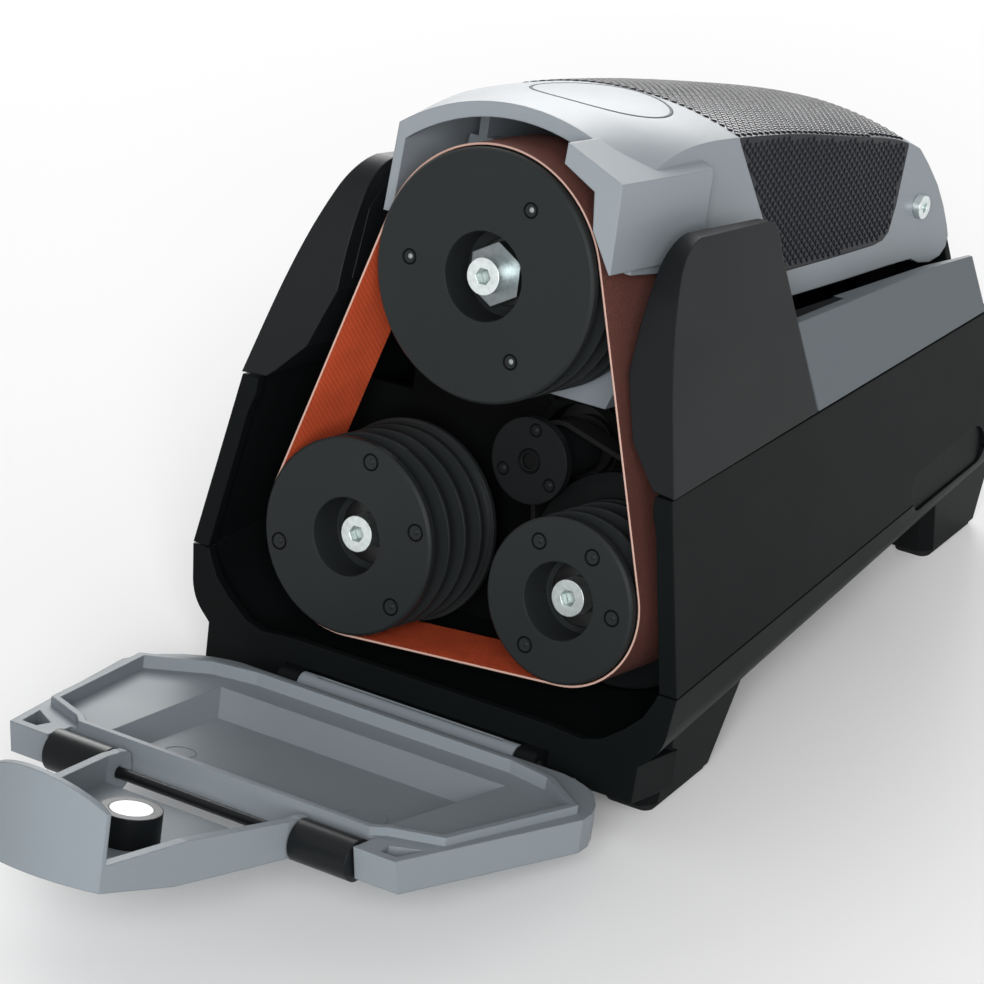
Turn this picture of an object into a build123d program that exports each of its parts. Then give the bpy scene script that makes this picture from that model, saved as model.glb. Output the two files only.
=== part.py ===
from build123d import *
import os
from math import acos, cos, radians, sin, sqrt, tan

# Electric belt knife sharpener with its front cover open.
# Millimetres. Two frames share the X axis and the origin:
#   table frame: +Z up, the feet stand on z = 0, the working end faces -Y
#   deck frame:  the table frame leaned back by LEAN, so rollers, arm, guides and cover are square in it

# ---------------------------------------------------------------- driving dimensions
LEAN = 13.65

# running and assembly clearances
RUN_GAP = 0.3
SHAFT_GAP = 0.05
FIT_GAP = 0.1
SEAM = 0.4

# rollers, in the deck frame: x, z of each axis and the radius of the rubbed face
ROLLER_FRONT = 0.3
ROLLER_LENGTH = 22.7
TOP_X, TOP_Z, TOP_R = 1.0, 99.3, 24.5
LEFT_X, LEFT_Z, LEFT_R = -22.2, 41.3, 19.8
DRIVE_X, DRIVE_Z, DRIVE_R = 27.3, 41.9, 16.3
TOP_HUB_R, LEFT_HUB_R, DRIVE_HUB_R = 8.7, 7.9, 7.7
HUB_DEPTH = 8.2
DISC_T = 1.9
RING_PITCH = 5.6
RING_T = 0.9
RINGS = 3
GROOVE_DEPTH = 4.6
FLANGE_R = 0.8
FLANGE_T = 1.2
BEARING_R = 6.5
BEARING_W = 5.0
AXLE_R = 2.0
HEAD_R = 3.6
HEAD_T = 4.0
SOCKET_AF = 3.0
SOCKET_DEPTH = 2.2
TRACK_AF = 11.0
TRACK_T = 4.6

# sanding belt
BELT_FRONT = 2.1
BELT_W = 19.05
BELT_T = 0.8

# drive from the motor
MOTOR_X, MOTOR_Z = 8.5, 62.7
PULLEY_FRONT = 14.0
PULLEY_FLANGE_R = 8.6
PULLEY_FLANGE_T = 2.0
PULLEY_R = 5.2
WHEEL_R = 20.4
WHEEL_FLANGE_R = 21.3
WHEEL_FLANGE_T = 1.2
DRIVE_BELT_W = 5.6
DRIVE_BELT_T = 1.0
WHEEL_ROOM = 1.2
WHEEL_FRONT = ROLLER_FRONT + ROLLER_LENGTH + 0.2
WHEEL_BACK = WHEEL_FRONT + 2 * WHEEL_FLANGE_T + DRIVE_BELT_W + 0.6
SHAFT_R = 1.6
MOTOR_R = 17.5
MOTOR_LENGTH = 52.0
BULKHEAD_Y = 34.0
BULKHEAD_T = 3.0
BULKHEAD_TOP = 79.0
BULKHEAD_SHOULDER = 64.0
BULKHEAD_NECK = 33.0
RIB_T = 1.6
RIB_H = 1.5

# housing: half widths and deck heights of the front section, table heights of the back section
FRONT_Y = -2.0
BACK_Y = 158.2
WALL = 3.0
FLOOR_HALF, FLOOR_Z = 43.9, 9.8
CURVE_HALF, CURVE_Z = 55.5, 20.2
LOW_HALF, LOW_Z = 56.9, 31.2
SEAM_HALF, SEAM_Z = 49.7, 68.2
BACK_FLOOR_HALF, BACK_FLOOR_Z = 35.0, 10.0
BACK_CURVE_HALF, BACK_CURVE_Z = 44.5, 16.0
BACK_LOW_HALF, BACK_LOW_Z = 45.2, 21.0
BACK_SEAM_HALF, BACK_SEAM_Z = 39.7, 48.4
SHOULDER_Z = 96.1
SHOULDER_FRONT_Z = 92.7
SHOULDER_RISE_END = 119.0
LEAN_IN = 0.264
TAPER = 0.0465
REAR_T = 6.0
FLOOR_ROUND, CURVE_ROUND = 12.0, 10.0
BACK_FLOOR_ROUND, BACK_CURVE_ROUND = 8.0, 5.0
REAR_CORNER_R = 13.0
CAP_HALF, CAP_Z = 39.3, 49.6

# flat frame round the mouth of the housing, deck frame
BEZEL_BACK = 0.2
MOUTH = [
    (30.0, 18.4), (38.0, 17.8), (42.0, 19.0), (47.0, 22.6), (50.3, 25.8), (52.3, 29.5), (53.0, 31.5), (47.5, 60.6), (46.0, 65.0),
    (46.0, 90.0),
]

# corner plates under the mouth, deck frame, between the front face and the front feet
SKIRT_OUTLINE = [(38.0, 8.6), (50.6, 8.6), (50.8, 16.2), (46.0, 17.2), (38.0, 12.6)]
SKIRT_BACK = 13.0
SKIRT_T = 2.6

# badge plates over the lower seam of both sides, table frame: centre, size and slope
BADGE_X, BADGE_Y, BADGE_Z = 46.0, 131.0, 24.1
BADGE_L, BADGE_H, BADGE_T = 37.5, 8.0, 0.8
BADGE_TAPER, BADGE_TILT, BADGE_SLOPE = 0.0766, 0.0875, -0.064

# feet, table frame: x0, x1, y0, y1 on the table, then how far the front and back ends have leaned at FOOT_TOP
FRONT_FOOT = (LOW_HALF - 20.9, LOW_HALF - 8.5, 10.5, 34.2, 3.1, 9.0)
REAR_FOOT = (BACK_LOW_HALF - 13.2, BACK_LOW_HALF - 3.0, BACK_Y - 25.8, BACK_Y - 2.7, -5.0, 3.0)
FOOT_SPREAD = 2.5
FOOT_CORNER = 2.5
FOOT_TOP = 19.0
PAD_T = 1.5
PAD_INSET = 1.0

# guide wings
WING_TOP = 113.4
WING_IN = 33.6
WING_NECK_Z = 88.0
WING_PROUD = 0.4
WING_RECEDE = 3.5
LINER_T = 0.8
LINER_PROUD = 0.15

# arm
ARM_FRONT = 8.0
ARM_PIVOT_Y, ARM_PIVOT_Z = 126.0, 106.6
ARM_WALL = 2.4
GRIP_T = 1.3
BLOCK_FRONT = -1.0
BLOCK_BACK = 32.5
BLOCK_HALF = 29.2
PIN_R = 1.9
BRACKET_Y = 25.5
BRACKET_T = 4.0
BRACKET_FOOT_Z = 73.6
BRACKET_HALF = 24.0
BRACKET_HUB_R = 6.5
WEB_X, WEB_T, WEB_L = 20.0, 2.0, 30.0
SPRING_Y = 62.0
SPRING_R = 5.0
SPRING_WIRE = 0.8
SPRING_TOP = 103.0

# well under the arm
WELL_HALF = 33.6
WELL_FLOOR = 84.0
WELL_T = 1.2
WELL_DROP = 1.0
WELL_RIM_T = 1.0
WELL_FRONT = 50.0
POST_T = 3.2
POST_X = 19.0
POST_R = 5.0

# controls on the left shoulder, deck frame
BUTTON_Z = 86.6
POWER_Y, POWER_R = 82.0, 4.8
SPEED_Y, SPEED_R = 97.0, 4.0
BUTTON_PROUD = 1.2
BUTTON_LIP = 0.8
BUTTON_LIP_T = 0.8
PANEL_T = 2.0

# control board hung under the well, deck frame: x, y, width, depth and height of each component
BOARD_X0, BOARD_X1 = -33.0, -13.0
BOARD_Y0, BOARD_Y1 = 62.0, 108.0
BOARD_T = 1.6
BOARD_GAP = 3.0
BOARD_ITEMS = [(-27, 70, 7, 8, 6), (-20, 82, 9, 9, 3), (-27, 96, 6, 12, 5), (-18, 98, 4, 6, 4)]

# mains inlet in the rear cover, table frame
INLET_Z = 28.0
INLET_W, INLET_H, INLET_DEPTH = 20.0, 12.0, 12.0
INLET_WALL = 2.0
INLET_PIN_R, INLET_PIN_X = 1.2, 5.6

# front cover, deck frame, open: hinge axis, then distances
HINGE_Y, HINGE_Z = -3.5, 10.8
HINGE_R = 2.4
HINGE_BAR_HALF = 25.5
KNUCKLE_L = 5.0
HINGE_PIN_R = 1.0
COVER_BACK = -7.0
COVER_FAR, COVER_FAR_LOW = -71.6, -69.8
COVER_UNDER, COVER_TOP = 5.5, 12.0
COVER_OUTLINE = [
    (43.8, COVER_FAR), (53.9, -25.3), (53.2, -21.0), (51.2, -16.5), (48.4, -12.6), (45.8, -10.1), (43.5, -8.8), (41.0, -7.7),
    (38.3, COVER_BACK),
]
NOTCH_Y = -64.6
RIM_TOP = 13.6
RIM_T = 1.5
RIM_OUTLINE = [(33.3, NOTCH_Y), (35.7, -62.2), (45.2, -58.0), (51.4, -23.3), (47.5, -20.2), (40.1, -14.0), (30.0, -11.6)]
LEDGE_Z = 11.0
RECESS_Z = 7.5
FLAP_AXIS_Y, FLAP_AXIS_Z = -69.0, 8.6
SLEEVE_R = 4.0
SLEEVE_IN, SLEEVE_OUT = 21.8, 34.5
ROD_R = 1.1
ROD_HALF = 38.0

# latch flap, deck frame, open
FLAP_HALF, FLAP_TIP_HALF = 21.4, 14.0
FLAP_TIP_Y = -119.75
FLAP_WALL = 1.8
TIP_SAG = 3.3
TIP_CORNER_Z, TIP_CROWN_Z = 21.6, 26.8
MAGNET_Y = HINGE_Y + HINGE_Z - TOP_Z
MAGNET_R, MAGNET_T = 3.9, 2.4
HOLDER_R, HOLDER_TOP = 5.7, 13.4

BIG = 400.0
ROLLERS = [(TOP_X, TOP_Z, TOP_R), (LEFT_X, LEFT_Z, LEFT_R), (DRIVE_X, DRIVE_Z, DRIVE_R)]
UP = (Align.CENTER, Align.CENTER, Align.MIN)


# ---------------------------------------------------------------- helpers
def to_table(point):
    """Table frame point of a deck frame point."""
    x, y, z = point
    s, c = sin(radians(LEAN)), cos(radians(LEAN))
    return (x, y * c + z * s, -y * s + z * c)


def lean(shape):
    """Put a solid modelled in the deck frame into the table frame."""
    return Rot(-LEAN, 0, 0) * shape


def unlean(shape):
    """Put a solid modelled in the table frame into the deck frame."""
    return Rot(LEAN, 0, 0) * shape


def rod_y(x, z, radius, y0, y1):
    return Pos(x, y0, z) * Rot(-90, 0, 0) * Cylinder(radius, y1 - y0, align=UP)


def rod_x(y, z, radius, x0, x1):
    return Pos(x0, y, z) * Rot(0, 90, 0) * Cylinder(radius, x1 - x0, align=UP)


def front_prism(points, y0, y1):
    """Outline in x, z extruded along +Y."""
    face = make_face(Polyline(*[(x, y0, z) for x, z in points], close=True))
    return extrude(face, amount=y1 - y0, dir=(0, 1, 0))


def side_prism(points, x0, x1):
    """Outline in y, z extruded along +X."""
    face = make_face(Polyline(*[(x0, y, z) for y, z in points], close=True))
    return extrude(face, amount=x1 - x0, dir=(1, 0, 0))


def plan_prism(points, z0, z1):
    """Outline in x, y extruded along +Z."""
    face = make_face(Polyline(*[(x, y, z0) for x, y in points], close=True))
    return extrude(face, amount=z1 - z0, dir=(0, 0, 1))


def brick(x0, x1, y0, y1, z0, z1):
    return Pos((x0 + x1) / 2, (y0 + y1) / 2, (z0 + z1) / 2) * Box(x1 - x0, y1 - y0, z1 - z0)


def both_sides(points):
    """Close a right-hand outline with its mirror image."""
    return points + [(-x, z) for x, z in reversed(points)]


def mirrored(shape):
    return mirror(shape, about=Plane.YZ)


def inset(points, amount):
    """Move every side of an anticlockwise outline inwards."""
    moved = []
    count = len(points)
    for i in range(count):
        (ax, az), (bx, bz), (cx, cz) = points[i - 1], points[i], points[(i + 1) % count]
        ux, uz = bx - ax, bz - az
        vx, vz = cx - bx, cz - bz
        ul, vl = sqrt(ux * ux + uz * uz), sqrt(vx * vx + vz * vz)
        nx1, nz1, nx2, nz2 = -uz / ul, ux / ul, -vz / vl, vx / vl
        scale = amount / (1 + nx1 * nx2 + nz1 * nz2)
        moved.append((bx + (nx1 + nx2) * scale, bz + (nz1 + nz2) * scale))
    return moved


def ruled(wires):
    return Solid.make_loft(wires, ruled=True)


def ring_wire(points):
    return Wire.make_polygon([Vector(*p) for p in points], close=True)


def section(points, rounds, amount, place):
    """Closed wire of a right-hand outline and its mirror image, moved in by amount, its corners rounded, put in space by place."""
    corners = inset(both_sides(points), amount)
    rounds = rounds + rounds[::-1]
    count = len(corners)
    ends, middles = [], []
    for i in range(count):
        (ax, az), (bx, bz), (cx, cz) = corners[i - 1], corners[i], corners[(i + 1) % count]
        ul, vl = sqrt((bx - ax) ** 2 + (bz - az) ** 2), sqrt((cx - bx) ** 2 + (cz - bz) ** 2)
        ux, uz, vx, vz = (bx - ax) / ul, (bz - az) / ul, (cx - bx) / vl, (cz - bz) / vl
        radius = max(rounds[i] - amount, 0.5) if rounds[i] else 0.0
        half = acos(ux * vx + uz * vz) / 2
        reach, depth = radius * tan(half), radius * (1 / cos(half) - 1) / (2 * sin(half))
        ends.append(((bx - ux * reach, bz - uz * reach), (bx + vx * reach, bz + vz * reach)))
        middles.append((bx + (vx - ux) * depth, bz + (vz - uz) * depth) if radius else None)
    edges = []
    for i in range(count):
        if middles[i]:
            edges.append(Edge.make_three_point_arc(place(ends[i][0]), place(middles[i]), place(ends[i][1])))
        edges.append(Edge.make_line(place(ends[i][1]), place(ends[(i + 1) % count][0])))
    return Wire(edges)


# ---------------------------------------------------------------- housing envelope, table frame
FRONT_OUTLINE = [
    (FLOOR_HALF, FLOOR_Z),
    (CURVE_HALF, CURVE_Z),
    (LOW_HALF, LOW_Z),
    (SEAM_HALF, SEAM_Z),
    (SEAM_HALF - LEAN_IN * (SHOULDER_Z - SEAM_Z), SHOULDER_Z),
]
SHOULDER_BACK_Y = (BACK_Y - SHOULDER_Z * sin(radians(LEAN))) / cos(radians(LEAN))
SHOULDER_BACK_Z = SHOULDER_Z * cos(radians(LEAN)) - SHOULDER_BACK_Y * sin(radians(LEAN))
BACK_OUTLINE = [
    (BACK_FLOOR_HALF, BACK_FLOOR_Z),
    (BACK_CURVE_HALF, BACK_CURVE_Z),
    (BACK_LOW_HALF, BACK_LOW_Z),
    (BACK_SEAM_HALF, BACK_SEAM_Z),
    (FRONT_OUTLINE[4][0] - TAPER * (SHOULDER_BACK_Y - FRONT_Y), SHOULDER_BACK_Z),
]


FRONT_ROUNDS = [FLOOR_ROUND, CURVE_ROUND, 0, 0, 0]
BACK_ROUNDS = [BACK_FLOOR_ROUND, BACK_CURVE_ROUND, 0, 0, 0]


def rear_corner(amount):
    """Everything outside the rounded rear top corner of the housing, moved in by amount."""
    s, c = sin(radians(LEAN)), cos(radians(LEAN))
    radius, top = REAR_CORNER_R - amount, SHOULDER_Z - amount
    y = (BACK_Y - amount - top * s) / c
    reach = radius / tan(radians(90 + LEAN) / 2)
    start, end = (0, y - reach, top), (0, y + reach * s, top - reach * c)
    way = sqrt(reach ** 2 + radius ** 2)
    middle = (0, y - reach + radius * reach / way, top - radius + radius * radius / way)
    edges = [
        Edge.make_three_point_arc(start, middle, end),
        Edge.make_line(end, (0, BIG, end[2])),
        Edge.make_line((0, BIG, end[2]), (0, BIG, BIG)),
        Edge.make_line((0, BIG, BIG), (0, start[1], BIG)),
        Edge.make_line((0, start[1], BIG), start),
    ]
    return Pos(-BIG / 2, 0, 0) * extrude(make_face(Wire(edges)), amount=BIG, dir=(1, 0, 0))


def envelope(amount):
    front = section(FRONT_OUTLINE, FRONT_ROUNDS, amount, lambda p: to_table((p[0], FRONT_Y, p[1])))
    back = section(BACK_OUTLINE, BACK_ROUNDS, amount, lambda p: (p[0], BACK_Y, p[1]))
    return ruled([front, back]) - lean(rear_corner(amount))


def slice_above(front_z, back_z, shift=0.0):
    """Everything above the sloping seam that runs from the front section to the back section."""
    _, y0, z0 = to_table((0, FRONT_Y, front_z))
    slope = (back_z - z0) / (BACK_Y - y0)
    far, near = BACK_Y + BIG, y0 - BIG
    at = [(near, z0 + slope * (near - y0) + shift), (far, z0 + slope * (far - y0) + shift)]
    return side_prism(at + [(far, BIG), (near, BIG)], -BIG / 2, BIG / 2)


outer = envelope(0)
inner = envelope(WALL)
half_space_right = brick(0, BIG, -BIG, BIG, -BIG, BIG)
over_low = slice_above(LOW_Z, BACK_LOW_Z, SEAM / 2)
under_low = brick(-BIG, BIG, -BIG, BIG, -BIG, BIG) - slice_above(LOW_Z, BACK_LOW_Z, -SEAM / 2)
over_seam = slice_above(SEAM_Z, BACK_SEAM_Z, SEAM / 2)
under_seam = brick(-BIG, BIG, -BIG, BIG, -BIG, BIG) - slice_above(SEAM_Z, BACK_SEAM_Z, -SEAM / 2)


# ---------------------------------------------------------------- base, feet and pads
def foot(x0, x1, y0, y1, front, back):
    c, s = FOOT_CORNER, FOOT_SPREAD

    def ring(x0, x1, y0, y1, z):
        return ring_wire([(x0, y0, z), (x1 - c, y0, z), (x1, y0 + c, z), (x1, y1 - c, z), (x1 - c, y1, z), (x0, y1, z)])

    return ruled([ring(x0, x1, y0, y1, PAD_T), ring(x0 - s, x1 + s, y0 + front, y1 + back, FOOT_TOP)])


def pad(x0, x1, y0, y1, front, back):
    i = PAD_INSET
    block = brick(x0 + i, x1 - i, y0 + i, y1 - i, 0, PAD_T)
    return fillet(block.edges().filter_by(Axis.Z), 2.0)


def bezel():
    """Flat frame that closes the mouth of the housing down to the rollers' opening."""
    plate = brick(-BIG, BIG, FRONT_Y, BEZEL_BACK, 0, BIG) - front_prism(both_sides(MOUTH), FRONT_Y - 1, BEZEL_BACK + 1)
    return lean(plate) & outer


def skirt():
    """Corner plate under the right end of the mouth, open from below."""
    block = front_prism(SKIRT_OUTLINE, FRONT_Y, SKIRT_BACK)
    room = inset(SKIRT_OUTLINE, SKIRT_T)
    room = [(room[0][0], 0.0), (room[1][0], 0.0)] + room[2:]
    block = block - front_prism(room, FRONT_Y + SKIRT_T, SKIRT_BACK + 1)
    return lean(block)


def badge_slab(extra, depth, height):
    """Rounded plate on the right side's badge plane, from depth below its face to height above it."""
    face = Plane(origin=(BADGE_X, BADGE_Y, BADGE_Z), x_dir=(-BADGE_TAPER, 1, BADGE_SLOPE), z_dir=(1, BADGE_TAPER, BADGE_TILT))
    outline = SlotOverall(BADGE_L + 2 * extra, BADGE_H + 2 * extra)
    return face * (Pos(0, 0, -depth) * extrude(outline, amount=depth + height, dir=(0, 0, 1)))


FEET = {"front": FRONT_FOOT, "rear": REAR_FOOT}
SCREW_SPOTS = [(x, y) for y in (66.0, 140.0) for x in (-26.0, 26.0)]
SCREW_HEAD_R, SCREW_HEAD_T, SCREW_R, SCREW_L = 3.0, 2.2, 1.4, 12.0
SCREW_WELL_Z = 4.0


def wheel_room():
    """Free space round the drive wheel and its belt."""
    return lean(rod_y(DRIVE_X, DRIVE_Z, WHEEL_R + DRIVE_BELT_T + WHEEL_ROOM, WHEEL_FRONT - WHEEL_ROOM / 2, WHEEL_BACK + WHEEL_ROOM / 2))


def base():
    tray = ((outer - inner) + bezel()) & under_low
    tray = tray - wheel_room()
    for corner in FEET.values():
        leg = (foot(*corner) - inner) & brick(-BIG, BIG, -BIG, BACK_Y, -BIG, BIG)
        tray = tray + leg + mirrored(leg)
    corner = skirt() - inner
    tray = tray + corner + mirrored(corner)
    trough = lean(rod_x(HINGE_Y, HINGE_Z, HINGE_R + 0.6, -HINGE_BAR_HALF - KNUCKLE_L - 0.6, HINGE_BAR_HALF + KNUCKLE_L + 0.6))
    tray = tray - trough
    for side in (-1, 1):
        x0 = side * (HINGE_BAR_HALF + RUN_GAP)
        x1 = side * (HINGE_BAR_HALF + KNUCKLE_L)
        knuckle = rod_x(HINGE_Y, HINGE_Z, HINGE_R, min(x0, x1), max(x0, x1))
        root = brick(min(x0, x1), max(x0, x1), HINGE_Y, FRONT_Y + 3.2, HINGE_Z - 1.2, HINGE_Z + HINGE_R)
        tray = tray + lean(knuckle + root)
    tray = tray - lean(rod_x(HINGE_Y, HINGE_Z, HINGE_PIN_R + SHAFT_GAP, -HINGE_BAR_HALF - KNUCKLE_L - 1, HINGE_BAR_HALF + KNUCKLE_L + 1))
    for x, y in SCREW_SPOTS:
        boss = Pos(x, y, BACK_FLOOR_Z + 1.0) * Cylinder(SCREW_HEAD_R + 1.6, SCREW_WELL_Z + 10, align=UP)
        tray = tray + boss
    recess = badge_slab(FIT_GAP, BADGE_T, BIG)
    tray = tray - recess - mirrored(recess)
    for x, y in SCREW_SPOTS:
        tray = tray - Pos(x, y, 0) * Cylinder(SCREW_HEAD_R + FIT_GAP, BACK_FLOOR_Z + SCREW_WELL_Z, align=UP)
        tray = tray - Pos(x, y, 0) * Cylinder(SCREW_R + SHAFT_GAP, BACK_FLOOR_Z + SCREW_WELL_Z + SCREW_L, align=UP)
    return tray


def base_screws():
    made = []
    for x, y in SCREW_SPOTS:
        z = BACK_FLOOR_Z + SCREW_WELL_Z - SCREW_HEAD_T
        head = Pos(x, y, z) * Cylinder(SCREW_HEAD_R, SCREW_HEAD_T, align=UP)
        shank = Pos(x, y, z) * Cylinder(SCREW_R, SCREW_HEAD_T + SCREW_L - 2.0, align=UP)
        slot = Pos(x, y, z) * (Box(3.4, 0.9, 2.0) + Box(0.9, 3.4, 2.0))
        made.append((head + shank - slot).solid())
    return Compound(children=made)


# ---------------------------------------------------------------- side panels, shoulders, wings
def side_panel():
    panel = ((outer - inner) + bezel()) & over_low & under_seam & half_space_right
    return panel - badge_slab(FIT_GAP, BADGE_T, BIG) - wheel_room()


WING_FRONT = [(FRONT_Y, 60.0), (FRONT_Y, SEAM_Z), (-0.8, 82.6), (1.6, 97.0), (5.6, 107.6)]
WING_BACK = [(59.7, 75.5), (54.2, 92.6), (49.4, 107.6)]


def wing_wire(x, shift, top):
    """Side outline of a wing at one x; its front edge recedes by shift, its back edge stays."""
    front = [Vector(x, y + shift, z) for y, z in WING_FRONT]
    nose = Vector(x, 14.0 + shift, top)
    tail = Vector(x, 44.5, top)
    back = [Vector(x, y, z) for y, z in reversed(WING_BACK)]
    low = Vector(x, 61.5, 60.0)
    edges = [Edge.make_line(front[0], front[1]), Edge.make_spline(front[1:])]
    edges.append(Edge.make_tangent_arc(front[-1], Vector(0, 3.5, 6.0), nose))
    edges.append(Edge.make_line(nose, tail))
    edges.append(Edge.make_tangent_arc(tail, Vector(0, 1, 0), back[0]))
    edges.append(Edge.make_line(back[0], back[1]))
    edges.append(Edge.make_line(back[1], back[2]))
    edges.append(Edge.make_line(back[2], low))
    edges.append(Edge.make_line(low, front[0]))
    return Wire(edges)


def wing_section(y):
    """Cross-section of a wing: leaning outer face, upright inner face that flares out at its foot."""
    x_low = SEAM_HALF + WING_PROUD - TAPER * (y - FRONT_Y)
    x_at = lambda z: x_low - LEAN_IN * (z - SEAM_Z)
    foot_z = 60.0
    outline = [(x_at(foot_z), foot_z), (x_at(WING_TOP + 5), WING_TOP + 5), (WING_IN, WING_TOP + 5), (WING_IN, WING_NECK_Z)]
    outline += [(37.8, 76.0), (43.0, 70.3), (46.6, 67.0), (46.6, foot_z)]
    return [(x, y, z) for x, z in outline]


def wing():
    side = ruled([wing_wire(WING_IN - 4, WING_RECEDE + 1.0, WING_TOP), wing_wire(SEAM_HALF + 4, -0.8, WING_TOP)])
    section = ruled([ring_wire(wing_section(-8.0)), ring_wire(wing_section(66.0))])
    solid = lean(side & section) & over_seam
    pocket = lean(liner_slab(WING_IN - 1, WING_IN + LINER_T))
    return solid - pocket


def liner_slab(x0, x1):
    outline = [(WING_RECEDE + 4.4, 90.0), (WING_RECEDE + 7.4, 104.0), (18.0, WING_TOP - 2.0), (43.0, WING_TOP - 2.0), (46.0, 108.0), (50.0, 90.0)]
    return side_prism(outline, x0, x1)


def slot_liner():
    return lean(liner_slab(WING_IN - LINER_PROUD, WING_IN + LINER_T - SHAFT_GAP))


def behind_wing():
    """Everything behind the back edge of the guide wings."""
    outline = [(61.9, 60.0), (60.0 + SEAM, 75.5), (54.4 + SEAM, 92.8), (53.0, 110.0), (BIG, 110.0), (BIG, -BIG), (61.9, -BIG)]
    return side_prism(outline, -BIG, BIG)


def under_rise(drop):
    """Everything lower than drop under the rising top edge of the shoulders."""
    outline = [(-BIG, SHOULDER_FRONT_Z - drop), (WELL_FRONT, SHOULDER_FRONT_Z - drop), (SHOULDER_RISE_END, SHOULDER_Z - drop), (BIG, SHOULDER_Z - drop)]
    return side_prism(outline + [(BIG, -BIG), (-BIG, -BIG)], -BIG, BIG)


def shoulder():
    shell = (envelope(0) - envelope(PANEL_T)) & over_seam & half_space_right
    shell = shell & lean(behind_wing())
    return shell & lean(brick(WELL_HALF + WELL_T, BIG, -BIG, BIG, -BIG, BIG) & under_rise(0.01))


# ---------------------------------------------------------------- arm, deck frame
ARM_SECTIONS = [
    (ARM_FRONT, 29.3, 27.2, 122.6, 131.4, 3.2),
    (20.0, 29.6, 26.5, 125.8, 132.0, 2.9),
    (33.0, 29.8, 26.0, 127.6, 132.2, 2.6),
    (47.0, 30.1, 25.9, 127.5, 131.8, 2.6),
    (61.0, 30.3, 25.8, 126.9, 131.0, 2.6),
    (75.0, 30.4, 25.8, 125.9, 129.9, 2.6),
    (98.0, 30.3, 25.7, 123.4, 127.7, 2.6),
    (122.0, 30.2, 25.6, 119.9, 124.5, 2.6),
    (150.0, 29.8, 25.2, 115.0, 119.5, 2.6),
]
ARM_BOTTOM_Z = 90.0
ARM_PROFILE = [
    (ARM_FRONT, 105.0), (34.0, 103.0), (52.0, 93.4), (123.2, 95.8), (126.5, 94.7), (131.0, 94.4), (135.2, 95.4), (137.6, 97.2),
    (138.4, 99.4), (137.8, 101.6), (136.0, 106.0), (133.4, 110.6), (129.7, 115.1), (126.6, 118.2), (122.5, 121.2), (121.0, 140.0),
    (ARM_FRONT, 140.0),
]


def arm_section(y, low, top, z_top, z_crown, crown_wall, side_wall=0.0, roof=0.0, drop=0.0):
    scale = crown_wall / ARM_SECTIONS[-1][5] if roof else 0.0
    a, b = low - side_wall, top - side_wall
    z0, z1, z2 = ARM_BOTTOM_Z - drop, z_top - roof * scale, z_crown - roof * scale
    edges = [
        Edge.make_line((a, y, z0), (b, y, z1)),
        Edge.make_three_point_arc((b, y, z1), (0, y, z2), (-b, y, z1)),
        Edge.make_line((-b, y, z1), (-a, y, z0)),
        Edge.make_line((-a, y, z0), (a, y, z0)),
    ]
    return Wire(edges)


def arm_body(side_wall=0.0, roof=0.0, drop=0.0, extra=0.0):
    wires = []
    for i, (y, *rest) in enumerate(ARM_SECTIONS):
        wires.append(arm_section(y - (extra if i == 0 else 0), *rest, side_wall, roof, drop))
    return Solid.make_loft(wires)


GRIP_OUTLINE = [
    (47.0, 140.0), (47.0, 127.0), (65.5, 99.2), (106.0, 100.4), (110.3, 101.0), (113.0, 102.4), (116.3, 107.7), (121.3, 119.4),
    (121.3, 140.0),
]


def guide_block(gap):
    """Angle block on the right of the arm's mouth, grown by gap."""
    outline = [(16.4, 128.6), (16.2, 124.6), (23.4, 120.8), (24.2, 113.6), (28.8, 106.2), (BLOCK_HALF, 106.2), (BLOCK_HALF, 123.3)]
    outline = inset(outline, -gap)
    return front_prism(outline, BLOCK_FRONT, BLOCK_BACK + gap)


def arm_parts():
    profile = side_prism(ARM_PROFILE, -60, 60)
    body = arm_body() & profile
    cavity = arm_body(side_wall=ARM_WALL - 0.6, roof=ARM_WALL, drop=5.0, extra=0.5)
    rear_keep = side_prism([(-20, 60), (136.0, 60), (136.0, 100.6), (134.0, 104.8), (131.2, 109.2), (127.6, 113.6), (124.0, 116.6), (117.0, 150), (-20, 150)], -60, 60)
    block = guide_block(0)
    skin = (arm_body() - arm_body(side_wall=GRIP_T, roof=GRIP_T)) & side_prism(GRIP_OUTLINE, -60, 60)
    grip_skin = (arm_body() - arm_body(side_wall=GRIP_T - FIT_GAP, roof=GRIP_T - FIT_GAP)) & side_prism(GRIP_OUTLINE, -60, 60)
    belt_room = loop(ROLLERS, 0, 2.0, BLOCK_FRONT - 4, ROLLER_FRONT + ROLLER_LENGTH, solid=True)
    shell = (body - (cavity & rear_keep)) + block - belt_room
    bore = rod_x(ARM_PIVOT_Y, ARM_PIVOT_Z, PIN_R + SHAFT_GAP, -60, 60)
    seat = rod_x(ARM_PIVOT_Y, ARM_PIVOT_Z, SCREW_SEAT_R + FIT_GAP, PIVOT_SEAT_X, 60)
    shell = shell - skin - bore - seat - mirrored(seat)
    column = rod_z(SPRING_Y, SPRING_TOP + RUN_GAP, 3.4, 140.0) & arm_body(side_wall=1.0, roof=1.6)
    shell = shell + column
    return shell, grip_skin & profile


def rod_z(y, z0, radius, z1):
    return Pos(0, y, z0) * Cylinder(radius, z1 - z0, align=UP)


SCREW_SEAT_R = 2.5
PIVOT_SEAT_X = 27.6


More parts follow.
